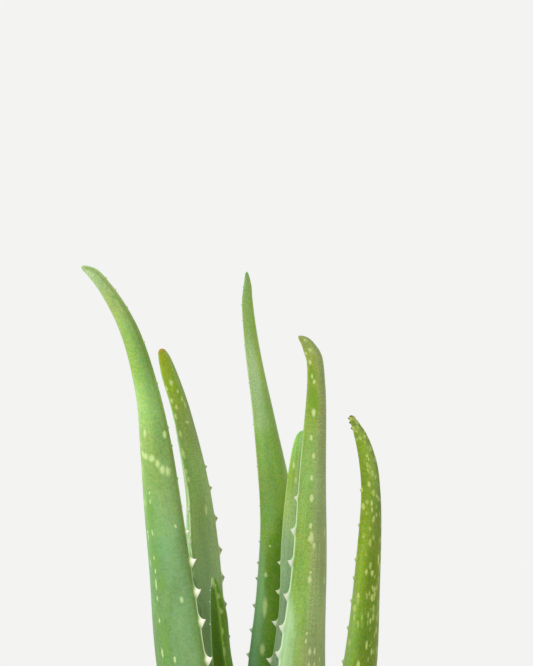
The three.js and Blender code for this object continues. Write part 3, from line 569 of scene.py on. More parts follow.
# Looks of each leaf. Colours are as on screen, and distances are millimetres from the leaf's tip. A share is
# a distance round the back from its keel, or round the face from its middle, over the leaf's width, and is
# positive on the side anticlockwise of the back, seen from above.
#
# tones: the green at each distance, which darkens down the leaf partly as painted shade.
# far: the colour of one side of the leaf, mostly the side away from the window, as painted shade, and as a
# paler
#   painted light on the leaves where it is paler than their tones. It is laid on by far_share, which sets in
#   across far_span, in shares. far_side -1 turns the shares round. far_low is (start, end, colour, shares of
#   the span) for its lower part, and far_edge (two shares, colour) for its outermost part.
# behind: the back's colour on a leaf that shows its face, with behind_low (start, end, colour), a painted
# shade
#   for its lower part, and behind_shade (start, end, colour), a painted shade for a strip along its positive
#   margin.
# tip_end: the colour of the dry end, which is gone at the second distance of tip_end_fade.
# bloom: (start, amount, end, amount) of pale wax, times the two amounts of bloom_span (share, share, amount,
#   amount). wax is its colour.
# rim: (start, end, width, amount, colour) of a soft pale strip inside the negative margin, partly pale wax
# and partly a painted highlight of the edge that the window lights.
# edge: where the pale margin starts. band is (start, end, width) as it widens, edge_tint its colour,
#   edge_side the one side that has it in full, and edge_stop (start, end, side) where one side loses it.
#   olive is the amount of the olive line inside it.
# tooth_tint and brown: the colours of the teeth and of their points.
# marks: pale ovals, as (distance, distance round from the middle, length, width, amount), on the face where
#   marked_face is 1. rows are lines of small ones, as (first distance, last distance, distance round, count).
# blots: larger patches of the colour blot, as (distance, distance round, length, width).
# scatter: the share of cells that hold a pale spot. cell is a cell's width and length at the tip, which grows
#   over spot_growth, spot the least and greatest radius in cells, spot_side (share, share, times, times) and
#   spot_thin (start, end, times) where spots are rarer. pale is the colour of spots and marks.
# scuffs: distances where brownish dashes start, are full, begin to fade and have faded.
# fibre and gloss: the depth of the lengthwise streaks, and the shine.
LEAF_LOOKS = {
    "leaf_left_front": dict(
        tones=((3, (170, 200, 138)), (22, (162, 189, 102)), (50, (144, 175, 76)), (68, (156, 190, 104)),
               (90, (144, 178, 88)), (140, (114, 156, 82)), (176, (94, 138, 64))),
        far=(146, 178, 112), far_low=(14, 36, (106, 138, 66), 0.0, 0.45), far_share=0.6, far_span=(0, 0.45),
        bloom=(60, 0.1, 140, 0.45), bloom_span=(-0.1, 0.2, 0.25, 1.0), wax=(140, 184, 140),
        edge=(98, 136), band=(100, 180, 0.6), brown=(190, 174, 112), olive=0.4, pale=(196, 218, 146),
        blots=((19.6, 3.8, 5, 2.4), (116, -1.5, 22, 8), (134, -1, 22, 7), (146, 2, 12, 5), (171, 0, 20, 6)),
        blot=(110, 154, 66),
        marks=((80.3, 0.4, 5, 2.1), (81.7, 9.7, 4.4, 2.2), (85, -3.8, 3.2, 1.5), (89.3, -2.4, 4, 3.6, 0.9),
               (90.3, -0.4, 4.2, 4.6, 0.9), (91.2, 2.8, 4.4, 4.2, 0.9), (93.7, 5.3, 5, 3.2, 0.9),
               (96.4, 7.1, 5.6, 3.2, 0.9), (97.3, 9.3, 6, 3.4, 0.8), (97, -4.6, 8, 1.3),
               (106.2, -0.2, 2.4, 1.3), (109.9, -0.4, 2.8, 1.3), (121.2, 10.2, 2, 1.5),
               (123.7, -1.2, 3.6, 1.3), (125.7, -5.5, 6, 1.2), (134.6, -1.7, 2.6, 1.2), (140.5, -1.7, 3, 1.3),
               (146.1, -2, 7, 1.6), (152.4, -2, 3, 1.5), (153, 10, 4, 1.9), (162, -2, 3, 1.4),
               (176.3, -2.4, 6, 1.9), (178.8, 4.5, 4.2, 1.8)),
        rows=((104, 140, -6, 3),),
    ),
    "leaf_left_back": dict(
        tones=((3, (150, 164, 30)), (16, (138, 164, 38)), (40, (132, 160, 82)), (66, (150, 180, 98)),
               (108, (138, 172, 96)), (134, (112, 146, 28))),
        far=(166, 186, 122), far_share=0.4, far_span=(0, 0.3), far_side=-1,
        behind=(150, 188, 126), behind_low=(84, 170, (108, 142, 78)), behind_shade=(93, 98, (78, 108, 54)),
        tip_end=(186, 122, 52), tip_end_fade=(0.2, 2.2), bloom=(30, 0.05, 90, 0.22),
        edge=(50, 74), edge_stop=(95, 99, 1), band=(50, 130, 0.6), brown=(124, 106, 56), pale=(204, 216, 136),
        marks=((16.2, 1.5, 4, 2.4), (17.9, 4.4, 3, 1.6), (21, -0.2, 2.4, 1.6), (24.1, 4.1, 3.4, 1.8),
               (24.9, -1.2, 3.6, 1.8), (27.6, 3, 3, 1.6), (27.9, -2, 4, 1.6), (31.6, 4.4, 4.6, 1.7),
               (35.7, -0.8, 2, 3.4), (40, 4.5, 5, 1.7), (48.9, 5.4, 7.5, 1.8), (57.6, 6.2, 4, 1.4),
               (61.2, 6, 4, 2), (77, -1.9, 7, 3)),
        marked_face=1, scatter=0.08, cell=(3, 7), spot=(0.02, 0.15),
    ),
    "leaf_left_young": dict(
        # The dark tones are mostly the painted shade of the deep channel, and far is the paler painted light
        # of the flank that faces the window.
        tones=((2, (200, 216, 160)), (6, (84, 122, 44)), (24, (82, 116, 22)), (60, (80, 112, 18))),
        far=(136, 182, 30), far_share=0.95, far_span=(-0.2, 0.3), far_side=-1, behind=(120, 158, 52),
        bloom=(0, 0.02, 60, 0.05), edge=(0, 3), band=(0, 50, 0.75), edge_tint=(156, 196, 140), edge_side=1,
        marks=((8.3, -4.7, 3.4, 2.6), (15, -6.6, 3.4, 2.8), (23.7, -8.3, 4.4, 3), (32.7, -8.6, 6, 3)),
        gloss=0.08, scatter=0.1, cell=(3, 8), spot=(0.02, 0.15),
    ),
    "leaf_centre_tall": dict(
        tones=((3, (118, 154, 88)), (22, (136, 168, 88)), (48, (166, 192, 134)), (68, (158, 186, 116)),
               (76, (142, 174, 78)), (118, (132, 172, 76)), (150, (148, 196, 92)), (176, (116, 170, 88))),
        far=(150, 180, 74), far_low=(100, 126, (98, 152, 18), -0.5, -0.36), far_share=0.85,
        far_span=(-0.25, 0.12), bloom=(30, 0.5, 100, 0.15), bloom_span=(-0.4, 0.1, 1.0, 0.2),
        rim=(104, 160, 8, 0.75, (140, 190, 144)), edge=(20, 70), band=(20, 80, 0.5),
        edge_tint=(186, 202, 146), brown=(160, 138, 92), pale=(206, 226, 146),
        marks=((124.8, -7.2, 2, 1.6), (137.8, -7.9, 3.4, 2.1), (152.3, -7.4, 12, 2.8), (171, -7.8, 7, 3)),
        scatter=0.03, cell=(3.6, 8.5), spot=(0.02, 0.17),
    ),
    "leaf_centre_young": dict(
        tones=((2, (136, 188, 88)), (20, (140, 174, 68)), (34, (154, 182, 102)), (52, (144, 176, 126)),
               (90, (122, 150, 114))),
        far=(178, 216, 148), far_low=(44, 66, (134, 178, 118), -0.2, 0.2), far_share=0.5,
        far_span=(-0.42, -0.24), bloom=(20, 0.1, 60, 0.3), bloom_span=(-0.4, 0.1, 1.0, 0.6),
        edge=(14, 50), band=(14, 60, 0.55), edge_tint=(172, 188, 138),
        marks=((15.5, -4.4, 4.4, 1.7), (22, -3.2, 3.8, 1.6)),
        scatter=0.03, cell=(3.6, 8.5), spot=(0.02, 0.17), fibre=0.1,
    ),
    "leaf_right_front": dict(
        tones=((3, (130, 142, 62)), (14, (142, 154, 66)), (34, (130, 160, 58)), (60, (134, 166, 80)),
               (100, (134, 164, 70)), (140, (142, 172, 80))),
        far=(144, 156, 86), far_low=(30, 70, (150, 168, 102), -0.24, -0.06), far_share=0.95,
        far_span=(-0.24, -0.06), bloom=(20, 0.03, 60, 0.15), bloom_span=(-0.4, 0.1, 1.0, 1.1),
        rim=(104, 132, 8, 0.8, (178, 212, 164)), edge=(34, 60), band=(50, 100, 1.1),
        edge_tint=(196, 222, 180), blots=((19, -4.4, 14, 5), (30, -4, 20, 6)), blot=(108, 152, 26),
        marks=((3.4, -0.6, 2, 1.5, 0.5), (8.1, -2.1, 3.6, 2.8, 0.5), (8.6, -4.4, 2.2, 1.3, 0.6),
               (13.5, -4.6, 3.8, 1.7, 0.9), (20, -4.3, 2.8, 1.6, 0.8), (22.3, -3.4, 3.2, 1.8, 0.8),
               (36, -3.8, 5, 2.4), (47, -4.5, 3.4, 1.8), (54.7, -3.2, 3, 1.8), (64.2, -3.8, 3.2, 1.8),
               (73.1, -3.5, 4.6, 2.3), (85, -3.6, 3.6, 2), (90.6, -3.9, 3.8, 2.2), (93.3, -1.9, 3.4, 1.9),
               (105.1, -3, 2, 1.3), (108.1, -3.2, 4.8, 2.1), (131.1, -3.3, 1.8, 1.2),
               (134.3, -3.6, 2.6, 1.5), (138.9, -1.4, 4.4, 2.1), (144.5, -1.6, 3, 1.6), (88.4, 5.1, 6, 1.3),
               (108.9, 6, 4, 1.3), (143.1, 5.7, 2.6, 1.5)),
        fibre=0.09, pale=(206, 218, 150), scatter=0.05, cell=(3.2, 7.5), spot=(0.02, 0.17),
        scuffs=(24, 34, 60, 74),
    ),
    "leaf_right": dict(
        tones=((2, (140, 160, 64)), (14, (136, 162, 46)), (34, (128, 162, 44)), (70, (134, 170, 50)),
               (110, (132, 168, 60))),
        far=(136, 156, 76), far_low=(24, 70, (98, 126, 2), -0.56, -0.26), far_share=0.8,
        far_span=(-0.42, -0.05), far_edge=(-0.1, 0.06, (116, 130, 32)), bloom=(20, 0.04, 100, 0.05),
        rim=(50, 90, 4, 0.5, (158, 186, 122)), edge=(20, 44), band=(20, 60, 0.3),
        edge_tint=(160, 184, 104), tooth_tint=(196, 204, 140), brown=(104, 48, 34),
        tip_end=(120, 70, 40), tip_end_fade=(0.2, 1.8), gloss=0.1, pale=(204, 216, 124),
        scatter=0.95, cell=(1.6, 2.2), spot_growth=110.0, spot=(0.16, 0.42),
        spot_side=(-0.5, -0.2, 0.3, 1.15), spot_thin=(35, 70, 0.5),
    ),
}
LOW_LEAF_LOOK = dict(
    tones=((4, (162, 148, 76)), (22, (134, 162, 76)), (60, (116, 148, 70))),
    far=(122, 146, 80), far_share=0.4, far_span=(-0.2, 0.2),
    bloom=(10, 0.15, 60, 0.3), bloom_span=(-0.4, 0.1, 1.0, 0.8), edge=(8, 34), band=(8, 60, 0.6),
    tip_end=(150, 96, 50), tip_end_fade=(0.5, 5), scatter=0.25, cell=(3.4, 7.5), spot=(0.02, 0.17),
)

# What a leaf has whose looks don't say otherwise
BLOOM_SPAN = (-0.4, 0.1, 1.0, 1.0)
WAX = (150, 188, 136)
SPOT_PALE = (196, 216, 140)
SPOT_GROWTH = 400.0
MARGIN_PALE = (212, 222, 176)
OLIVE_AMOUNT = 0.18
TOOTH_CREAM = (238, 240, 214)
TOOTH_BROWN = (136, 78, 42)
FIBRE_DEPTH = 0.05
LEAF_GLOSS = 0.18

# What all leaves share: colours, how far noise moves the edge of the far side's painted light and shade in
# shares, and marks and blots across and along in millimetres, and what keeps the noise of one leaf or side
# apart from the next one's
OLIVE = (112, 122, 50)
SCUFF_BROWN = (104, 96, 50)
FAR_WANDER = 0.16
MARK_WANDER = (1.1, 1.1)
BLOT_WANDER = (4.0, 6.0)
LAYER_STEP = 37.0
FACE_STEP = 60.0


class LeafPlaces:
    """The sockets that say where on a leaf a point is, in millimetres."""

    def __init__(self, g, seed):
        self.around, self.share, self.margin = (g.attribute(n) for n in ("around", "share", "margin"))
        self.from_tip, self.face, self.tooth = (g.attribute(n) for n in ("from_tip", "face", "tooth"))
        self.brown = g.attribute("brown")
        self.back_layer = seed * LAYER_STEP
        self.layer = g.add_product(self.face, FACE_STEP, self.back_layer)
        self.plain = g.combine(self.around, self.from_tip, self.layer)
        self.stretched = g.combine(self.around, g.times(self.from_tip, 0.3), self.layer)


def leaf_tones(g, p, look):
    """The green from tip to base, darker lower down partly as painted shade, with the painted light and shade
    of the far side, the back with its painted shade, and the dry end.
    """
    tones = look["tones"]
    skin = srgb(*tones[0][1])
    uneven = g.math("SUBTRACT", g.noise(p.plain, 0.16, 3.0), 0.5)
    along = g.add_product(g.times(uneven, p.from_tip), 0.2, p.from_tip)
    for (start, _), (end, color) in zip(tones, tones[1:]):
        skin = g.mix(g.between(along, start, end), skin, srgb(*color))
    skin = leaf_painted_far_side(g, p, look, along, skin)
    if "behind" in look:
        skin = g.mix(p.face, leaf_back_painted_shade(g, p, look, along), skin)
    if "tip_end" in look:
        start, end = look["tip_end_fade"]
        skin = g.mix(g.between(p.from_tip, start, end, 0.9, 0.0), skin, srgb(*look["tip_end"]))
    return skin


def leaf_painted_far_side(g, p, look, along, skin):
    """The side of the leaf that is mostly away from the window, in painted shade, and in a paler painted
    light on the leaves whose far colour is paler than their tones.
    """
    share = g.times(p.share, look.get("far_side", 1))
    wander = g.add_product(g.noise(p.stretched, 0.4, 2.0), FAR_WANDER, share)
    low, high = (edge + FAR_WANDER / 2 for edge in look["far_span"])
    colour = srgb(*look["far"])
    if "far_low" in look:
        start, end, low_colour, *span_after = look["far_low"]
        lowness = g.between(along, start, end)
        colour = g.mix(lowness, colour, srgb(*low_colour))
        low, high = (g.add_product(lowness, after - before, before + FAR_WANDER / 2)
                     for before, after in zip(look["far_span"], span_after))
    amount = g.between(wander, low, high, 0.0, look["far_share"])
    if "far_edge" in look:
        start, end, edge_colour = look["far_edge"]
        colour = g.mix(g.between(share, start, end), colour, srgb(*edge_colour))
    return g.mix(amount, skin, colour)


def leaf_back_painted_shade(g, p, look, along):
    """The back of a leaf that shows its face to the window, with painted shade lower down and along a strip
    by its positive margin where the looks ask for it.
    """
    colour = srgb(*look["behind"])
    if "behind_low" in look:
        start, end, low_colour = look["behind_low"]
        colour = g.mix(g.between(along, start, end), colour, srgb(*low_colour))
    if "behind_shade" in look:
        start, end, shade_colour = look["behind_shade"]
        shaded = g.times(g.between(p.from_tip, start, end), g.between(p.share, 0.3, 0.46))
        colour = g.mix(shaded, colour, srgb(*shade_colour))
    return colour


def leaf_mottle(g, p, look, skin):
    """Slow patches, fibres along the leaf and a fine grain in its green."""
    patches = g.noise(p.stretched, 0.1, 3.0)
    tints = g.noise(p.stretched, 0.063, 2.0)
    fibre_place = g.combine(g.times(p.share, 40.0), g.times(p.from_tip, 0.03), p.layer)
    fibres = g.noise(fibre_place, 1.0, 3.0, 0.6)
    grain = g.noise(p.plain, 1.3, 3.0, 0.65)
    depth = look.get("fibre", FIBRE_DEPTH)
    value = g.times(g.between(patches, 0.32, 0.68, 0.88, 1.1),
                    g.between(fibres, 0.3, 0.7, 1 + depth, 1 - depth))
    value = g.times(value, g.between(grain, 0.34, 0.66, 0.86, 1.14))
    flecks = g.noise(p.plain, 0.75, 2.0, 0.6)
    hue = g.math("ADD", g.between(tints, 0.35, 0.65, 0.488, 0.512),
                 g.between(flecks, 0.36, 0.64, -0.014, 0.014))
    richness = g.between(g.noise(p.plain, 1.1, 3.0, 0.7), 0.34, 0.66, 0.9, 1.1)
    inputs = {"Hue": hue, "Saturation": richness, "Value": value, "Color": skin}
    colour = g.node("HueSaturation", inputs).outputs[0]
    return colour, fibres, grain


def leaf_bloom(g, p, look):
    """How much of the pale waxy bloom lies on the skin, in mottled patches."""
    flecks = g.noise(p.plain, 0.5, 4.0, 0.65)
    cover = g.between(g.noise(p.stretched, 0.07, 4.0, 0.6), 0.38, 0.62, 0.25, 1.0)
    cover = g.times(cover, g.between(flecks, 0.25, 0.7, 0.5, 1.0))
    start, above, end, below = look["bloom"]
    amount = g.between(p.from_tip, start, end, above, below)
    side = g.between(p.share, *look.get("bloom_span", BLOOM_SPAN))
    side = g.times(side, g.between(p.margin, 0.5, 6.0, 0.35, 1.0))
    return g.times(cover, g.times(amount, side))


def soft_oval(g, place, centre, length, width):
    """1 at the centre and 0 from its outline on."""
    scale = Vector((2 / width, 2 / length, 1))
    shift = -Vector(a * b for a, b in zip(centre, scale))
    mapped = g.node("Mapping", {"Vector": place, "Scale": scale, "Location": shift})
    return g.node("TexGradient", {"Vector": mapped.outputs[0]}, gradient_type="SPHERICAL").outputs[1]


def soft_ovals(g, p, listed, layer, wander, scale, detail):
    """The strongest at each point of listed ovals, made uneven by a noise that moves them by wander.
    The noise is 0.5 on average, so half of wander brings them back to their places."""
    noise_colour = g.node("TexNoise", {"Vector": p.plain, "Scale": scale, "Detail": detail}).outputs[1]
    inputs = {0: noise_colour, 1: (*wander, 0.0), 2: p.plain}
    place = g.node("VectorMath", inputs, operation="MULTIPLY_ADD").outputs[0]
    strength = None
    for distance, around, length, width, *amount in listed:
        centre = (around + wander[0] / 2, distance + wander[1] / 2, layer)
        oval = soft_oval(g, place, centre, length, width)
        if amount:
            oval = g.times(oval, amount[0])
        strength = oval if strength is None else g.math("MAXIMUM", strength, oval)
    return strength


def leaf_marks(g, p, look, draw):
    """How pale the marks and rows of one side make each point."""
    marks = list(look["marks"])
    for first, last, around, count in look.get("rows", ()):
        for i in range(count):
            distance = first + (last - first) * (i + draw.uniform(0.2, 0.8)) / count
            marks.append((distance, around + draw.uniform(-0.7, 0.7), draw.uniform(2.0, 4.8),
                          draw.uniform(1.1, 1.7)))
    layer = p.back_layer + FACE_STEP * look.get("marked_face", 0)
    return g.between(soft_ovals(g, p, marks, layer, MARK_WANDER, 0.9, 2.0), 0.0, 0.65)


def leaf_blots(g, p, look, skin):
    """Larger soft patches of deeper green on the back, where the bloom is rubbed off."""
    strength = soft_ovals(g, p, look["blots"], p.back_layer, BLOT_WANDER, 0.3, 3.0)
    return g.mix(g.between(strength, 0.0, 0.7, 0.0, 0.7), skin, srgb(*look["blot"]))


def leaf_rim_wax_and_highlight(g, p, look, skin):
    """A soft pale strip that widens down the leaf, inside the negative margin: partly pale wax, partly a
    painted highlight where the window light grazes that edge.
    """
    start, end, wide, amount, colour = look["rim"]
    width = g.between(p.from_tip, start, end, 0.2, wide)
    reach = g.math("DIVIDE", p.margin, width)
    uneven = g.add_product(g.noise(p.stretched, 0.5, 3.0), 0.5, reach)
    strip = g.between(uneven, 0.35, 1.25, amount, 0.0)
    strip = g.times(strip, g.between(p.share, -0.15, 0.0, 1.0, 0.0))
    strip = g.times(strip, g.between(p.from_tip, start, start + 20))
    return g.mix(strip, skin, srgb(*colour))


def leaf_scatter(g, p, look):
    """Irregular pale spots all over a leaf, one in each chosen cell."""
    across, along = look["cell"]
    growth = look.get("spot_growth", SPOT_GROWTH)
    grown = g.math("LOGARITHM", g.add_product(p.from_tip, 1 / growth, 1.0), math.e)
    along_place = g.times(grown, growth / along)
    place = g.combine(g.math("DIVIDE", p.around, across), along_place, p.layer)
    cells = g.node("TexVoronoi", {"Vector": place, "Scale": 1.0, "Randomness": 1.0}, feature="F1")
    draws = g.node("SeparateColor", {0: cells.outputs["Color"]})
    crowd = g.between(g.noise(p.stretched, 0.12, 2.0), 0.4, 0.6, 0.7, 1.3)
    if "spot_side" in look:
        crowd = g.times(crowd, g.between(p.share, *look["spot_side"]))
    if "spot_thin" in look:
        start, end, kept = look["spot_thin"]
        crowd = g.times(crowd, g.between(p.from_tip, start, end, 1.0, kept))
    chosen = g.math("LESS_THAN", draws.outputs[0], g.times(crowd, look["scatter"]))
    uneven = g.add_product(g.noise(p.plain, 1.6, 2.0), 0.22, cells.outputs["Distance"])
    size = g.between(draws.outputs[1], 0.0, 1.0, *look["spot"])
    inside = g.math("SUBTRACT", uneven, size)
    faint = g.between(draws.outputs[2], 0.0, 1.0, 0.55, 1.0)
    spots = g.between(inside, 0.08, 0.38, faint, 0.0)
    return g.times(spots, chosen)


def leaf_spots(g, p, look, seed, skin):
    """The scattered spots, the marks or both, whichever a leaf has."""
    spots = leaf_scatter(g, p, look) if "scatter" in look else 0.0
    if "marks" in look:
        spots = g.math("MAXIMUM", spots, leaf_marks(g, p, look, random.Random(seed)))
    return g.mix(g.times(spots, 0.8), skin, srgb(*look.get("pale", SPOT_PALE)))


def leaf_scuffs(g, p, look, skin):
    """Short brownish dashes across the far side, where a neighbour has rubbed it."""
    start, full, fading, end = look["scuffs"]
    place = g.combine(g.times(p.around, 0.7), g.times(p.from_tip, 1.7), p.layer)
    dashes = g.between(g.noise(place, 1.0, 3.0, 0.65), 0.53, 0.66)
    reach = g.times(g.between(p.from_tip, start, full),
                    g.between(p.from_tip, fading, end, 1.0, 0.35))
    reach = g.times(reach, g.between(p.share, -0.18, -0.08))
    return g.mix(g.times(dashes, g.times(reach, 0.8)), skin, srgb(*SCUFF_BROWN))


def margin_start(g, p, look):
    """Where the pale margin has set in: 0 towards the tip, and on any side that lacks or loses it."""
    started = g.between(p.from_tip, *look["edge"])
    if "edge_side" in look:
        side = g.times(p.share, look["edge_side"])
        started = g.times(started, g.between(side, -0.1, 0.1, 0.15, 1.0))
    if "edge_stop" in look:
        start, end, which = look["edge_stop"]
        side = g.between(g.times(p.share, which), -0.1, 0.1)
        stopped = g.times(side, g.between(p.from_tip, start, end, 0.0, -1.0))
        started = g.add_product(started, stopped, started)
    return started


def leaf_margin(g, p, look, skin):
    """The pale margin with the olive line inside it, and the teeth."""
    tint = srgb(*look.get("edge_tint", MARGIN_PALE))
    started = margin_start(g, p, look)
    olive = g.times(g.between(p.margin, 0.5, 1.0), g.between(p.margin, 1.2, 2.4, 1.0, 0.0))
    skin = g.mix(g.times(olive, look.get("olive", OLIVE_AMOUNT)), skin, srgb(*OLIVE))
    start, end, wide = look["band"]
    width = g.between(p.from_tip, start, end, 0.45, wide)
    edge = g.times(g.between(p.margin, g.times(width, 0.3), width, 1.0, 0.0), started)
    skin = g.mix(g.times(edge, 0.75), skin, tint)
    white = g.times(started, g.between(p.brown, 0.0, 0.2, 1.0, 0.0))
    skin = g.mix(g.times(g.between(p.tooth, 0.05, 0.3, 0.0, 0.7), white), skin, tint)
    cream = srgb(*look.get("tooth_tint", TOOTH_CREAM))
    skin = g.mix(g.times(g.between(p.tooth, 0.2, 0.55), white), skin, cream)
    return g.mix(g.between(p.brown, 0.15, 0.6, 0.0, 0.8), skin, srgb(*look.get("brown", TOOTH_BROWN)))


def leaf_material(leaf, seed):
    look = LEAF_LOOKS.get(leaf["name"], LOW_LEAF_LOOK)
    g = Graph(leaf["name"] + "_skin")
    p = LeafPlaces(g, seed)
    skin, fibres, grain = leaf_mottle(g, p, look, leaf_tones(g, p, look))
    bloom = leaf_bloom(g, p, look)
    skin = g.mix(bloom, skin, srgb(*look.get("wax", WAX)))
    if "blots" in look:
        skin = leaf_blots(g, p, look, skin)
    if "rim" in look:
        skin = leaf_rim_wax_and_highlight(g, p, look, skin)
    if "scuffs" in look:
        skin = leaf_scuffs(g, p, look, skin)
    skin = leaf_spots(g, p, look, seed, skin)
    skin = leaf_margin(g, p, look, skin)
    g.shader.inputs["Subsurface Weight"].default_value = 0.12
    g.shader.inputs["Subsurface Radius"].default_value = (0.6, 1.0, 0.3)
    g.shader.inputs["Subsurface Scale"].default_value = 0.004
    relief = g.math("ADD", g.times(fibres, 0.5), g.times(grain, 0.5))
    return g.surface(skin, g.between(bloom, 0.0, 0.5, 0.42, 0.62), g.bump(relief, 0.4, 0.0004),
                     look.get("gloss", LEAF_GLOSS))


# Pot, soil and stem, as the solids have them, in millimetres
POT_HEIGHT = 122
POT_BASE_RADIUS = 46
POT_RIM_RADIUS = 70
POT_WALL = 6
POT_FLOOR = 9
RIM_BAND_HEIGHT = 32
RIM_BAND_STEP = 3.5
POT_EDGE_ROUND = 1.6
DRAIN_COUNT = 3
DRAIN_RADIUS = 4.5
DRAIN_CIRCLE = 22
SOIL_TOP = 109
SOIL_CROWN = 2.5
SOIL_BUMP = 0.7
SOIL_FADE = 8
STUB_RADIUS = 13
STUB_BOTTOM = 72
CROWN_BOTTOM = 113.5
CROWN_EDGE = 116.5
CROWN_RADIUS = 22
CROWN_TOP = 131

# Fine meshes: sides of each turned form, and steps of a turned corner and of the crown's dome
POT_SIDES = 192
SOIL_SIDES = 240
CROWN_SIDES = 120
DRAIN_SIDES = 48
ROOM_SIDES = 96
ARC_STEPS = 7
DOME_STEPS = 12

# The clay is out of true by up to WALL_WAVER of its radius, over WAVER_LENGTH
WALL_WAVER = 0.004
WAVER_LENGTH = 38

CLAY_DARK, CLAY_LIGHT = (166, 88, 54), (196, 114, 74)
CLAY_DUST, CLAY_LIME, CLAY_PIT = (222, 158, 118), (224, 196, 172), (120, 60, 38)
SOIL_DARK, SOIL_LIGHT = (34, 24, 18), (66, 48, 36)
PERLITE_DARK, PERLITE_LIGHT = (206, 202, 192), (232, 229, 220)
CROWN_WOOD, CROWN_GREEN, CROWN_FIBRE = (150, 126, 84), (158, 180, 116), (196, 190, 146)

# Surroundings: their colour as seen, their light, and the floor
STUDIO_PALE = (243, 243, 242)
STUDIO_LIGHT = 0.8
FLOOR_PALE = (222, 222, 221)
FLOOR_RADIUS = 1.1
LEAVES_MIDDLE = (0, 0, 0.3)


def pot_wall_radius(height):
    return POT_BASE_RADIUS + (POT_RIM_RADIUS - RIM_BAND_STEP - POT_BASE_RADIUS) * height / POT_HEIGHT


def pot_inner_radius(height):
    return pot_wall_radius(height) - POT_WALL


def fine_profile(corners, step):
    """(radius, height, rounding) corners, turned in arcs and joined by straight runs in short steps."""
    points = []
    for i, (radius, height, rounding) in enumerate(corners):
        here = Vector((radius, height))
        if not rounding:
            points.append(here)
            continue
        start = here + (Vector(corners[i - 1][:2]) - here).normalized() * rounding
        end = here + (Vector(corners[i + 1][:2]) - here).normalized() * rounding
        for k in range(ARC_STEPS):
            t = k / (ARC_STEPS - 1)
            points.append(start * (1 - t) ** 2 + here * 2 * t * (1 - t) + end * t ** 2)
    filled = [points[0]]
    for start, end in zip(points, points[1:]):
        steps = max(1, math.ceil((end - start).length / step))
        filled += [start.lerp(end, k / steps) for k in range(1, steps + 1)]
    return np.array([tuple(p) for p in filled])


def turned(name, profile, sides, reshape=None):
    """Turns a (radius, height) profile, whose two ends lie on the axis. reshape may move the points first."""
    turn = np.linspace(0, 2 * math.pi, sides, endpoint=False)
    inner = profile[1:-1]
    radius = inner[:, :1]
    height = np.repeat(inner[:, 1:], sides, 1)
    points = np.stack([radius * np.cos(turn), radius * np.sin(turn), height], 2)
    if reshape is not None:
        points = reshape(points)
    vertices, faces = closed_skin(points, (0, 0, profile[0][1]), (0, 0, profile[-1][1]))
    made = mesh_object(name, vertices, faces)
    shade_smooth(made)
    return made


def wall_waver(points):
    """A hand-finished pot is a little out of true; the waver only ever takes clay away."""
    moved = points.copy()
    for ring in moved:
        for p in ring:
            if p[2] > POT_EDGE_ROUND:
                slow = noise.noise(Vector(p) / WAVER_LENGTH)
                p[:2] *= 1 - WALL_WAVER * (slow + 1) / 2
    return moved


def build_pot():
    band_bottom = POT_HEIGHT - RIM_BAND_HEIGHT
    band_radius = pot_wall_radius(band_bottom) + RIM_BAND_STEP
    inner_rim = pot_inner_radius(POT_HEIGHT)
    under_band = band_bottom - RIM_BAND_STEP
    profile = fine_profile([
        (0, 0, 0),
        (POT_BASE_RADIUS, 0, POT_EDGE_ROUND),
        (pot_wall_radius(under_band), under_band, POT_EDGE_ROUND),
        (band_radius, band_bottom, POT_EDGE_ROUND),
        (POT_RIM_RADIUS, POT_HEIGHT, POT_EDGE_ROUND * 1.3),
        (inner_rim, POT_HEIGHT, POT_EDGE_ROUND * 1.3),
        (pot_inner_radius(POT_FLOOR), POT_FLOOR, POT_EDGE_ROUND),
        (0, POT_FLOOR, 0),
    ], 2.0)
    pot = turned("pot_clay", profile, POT_SIDES, wall_waver)
    for i in range(DRAIN_COUNT):
        angle = 2 * math.pi * i / DRAIN_COUNT + math.pi / 2
        place = Vector((math.cos(angle), math.sin(angle), 0)) * DRAIN_CIRCLE * MM
        top = 2 * POT_FLOOR
        bore = [(0, -POT_FLOOR), (DRAIN_RADIUS, -POT_FLOOR), (DRAIN_RADIUS, top), (0, top)]
        drill = turned("drill", np.array(bore, float), DRAIN_SIDES)
        drill.data.transform(Matrix.Translation(place))
        solid_difference(pot, drill)
        bpy.data.objects.remove(drill)
    return pot


def soil_height(x, y):
    outer = pot_inner_radius(SOIL_TOP) - GAP
    radius = math.hypot(x, y)
    dome = SOIL_CROWN * (1 - (radius / outer) ** 2)
    fade = min(max((radius - STUB_RADIUS) / SOIL_FADE, 0), 1)
    waves = math.sin(0.21 * x + 0.8) * math.cos(0.17 * y - 0.4) + 0.5 * math.sin(0.33 * (x - y))
    return SOIL_TOP + dome + SOIL_BUMP * fade * waves


def crumbly(points):
    """Lowers and lifts the soil's top into crumbs and hollows, and leaves its sides as they are."""
    moved = points.copy()
    for ring in moved:
        for p in ring:
            if p[2] < SOIL_TOP - 0.01:
                continue
            x, y = p[0], p[1]
            coarse = noise.voronoi(Vector((x, y, 0)) / 5.5)[0][0]
            fine = noise.voronoi(Vector((x, y, 9)) / 2.2)[0][0]
            grit = noise.noise(Vector((x, y, 3)) / 1.1)
            rise = 0.9 * (0.5 - coarse) + 0.7 * (0.45 - fine) + 0.25 * grit
            p[2] = min(soil_height(x, y) + rise, LEAF_FOOT - GAP / 2)
    return moved


def build_soil():
    bottom = POT_FLOOR + GAP
    hole = STUB_RADIUS + GAP
    edge = pot_inner_radius(SOIL_TOP) - GAP - 0.3
    profile = [(0, bottom), (pot_inner_radius(bottom) - GAP - 0.3, bottom)]
    profile += [(radius, SOIL_TOP) for radius in np.arange(edge, hole, -0.9)]
    profile += [(hole, SOIL_TOP), (hole, STUB_BOTTOM - GAP), (0, STUB_BOTTOM - GAP)]
    return turned("soil_bed", np.array(profile, float), SOIL_SIDES, crumbly)


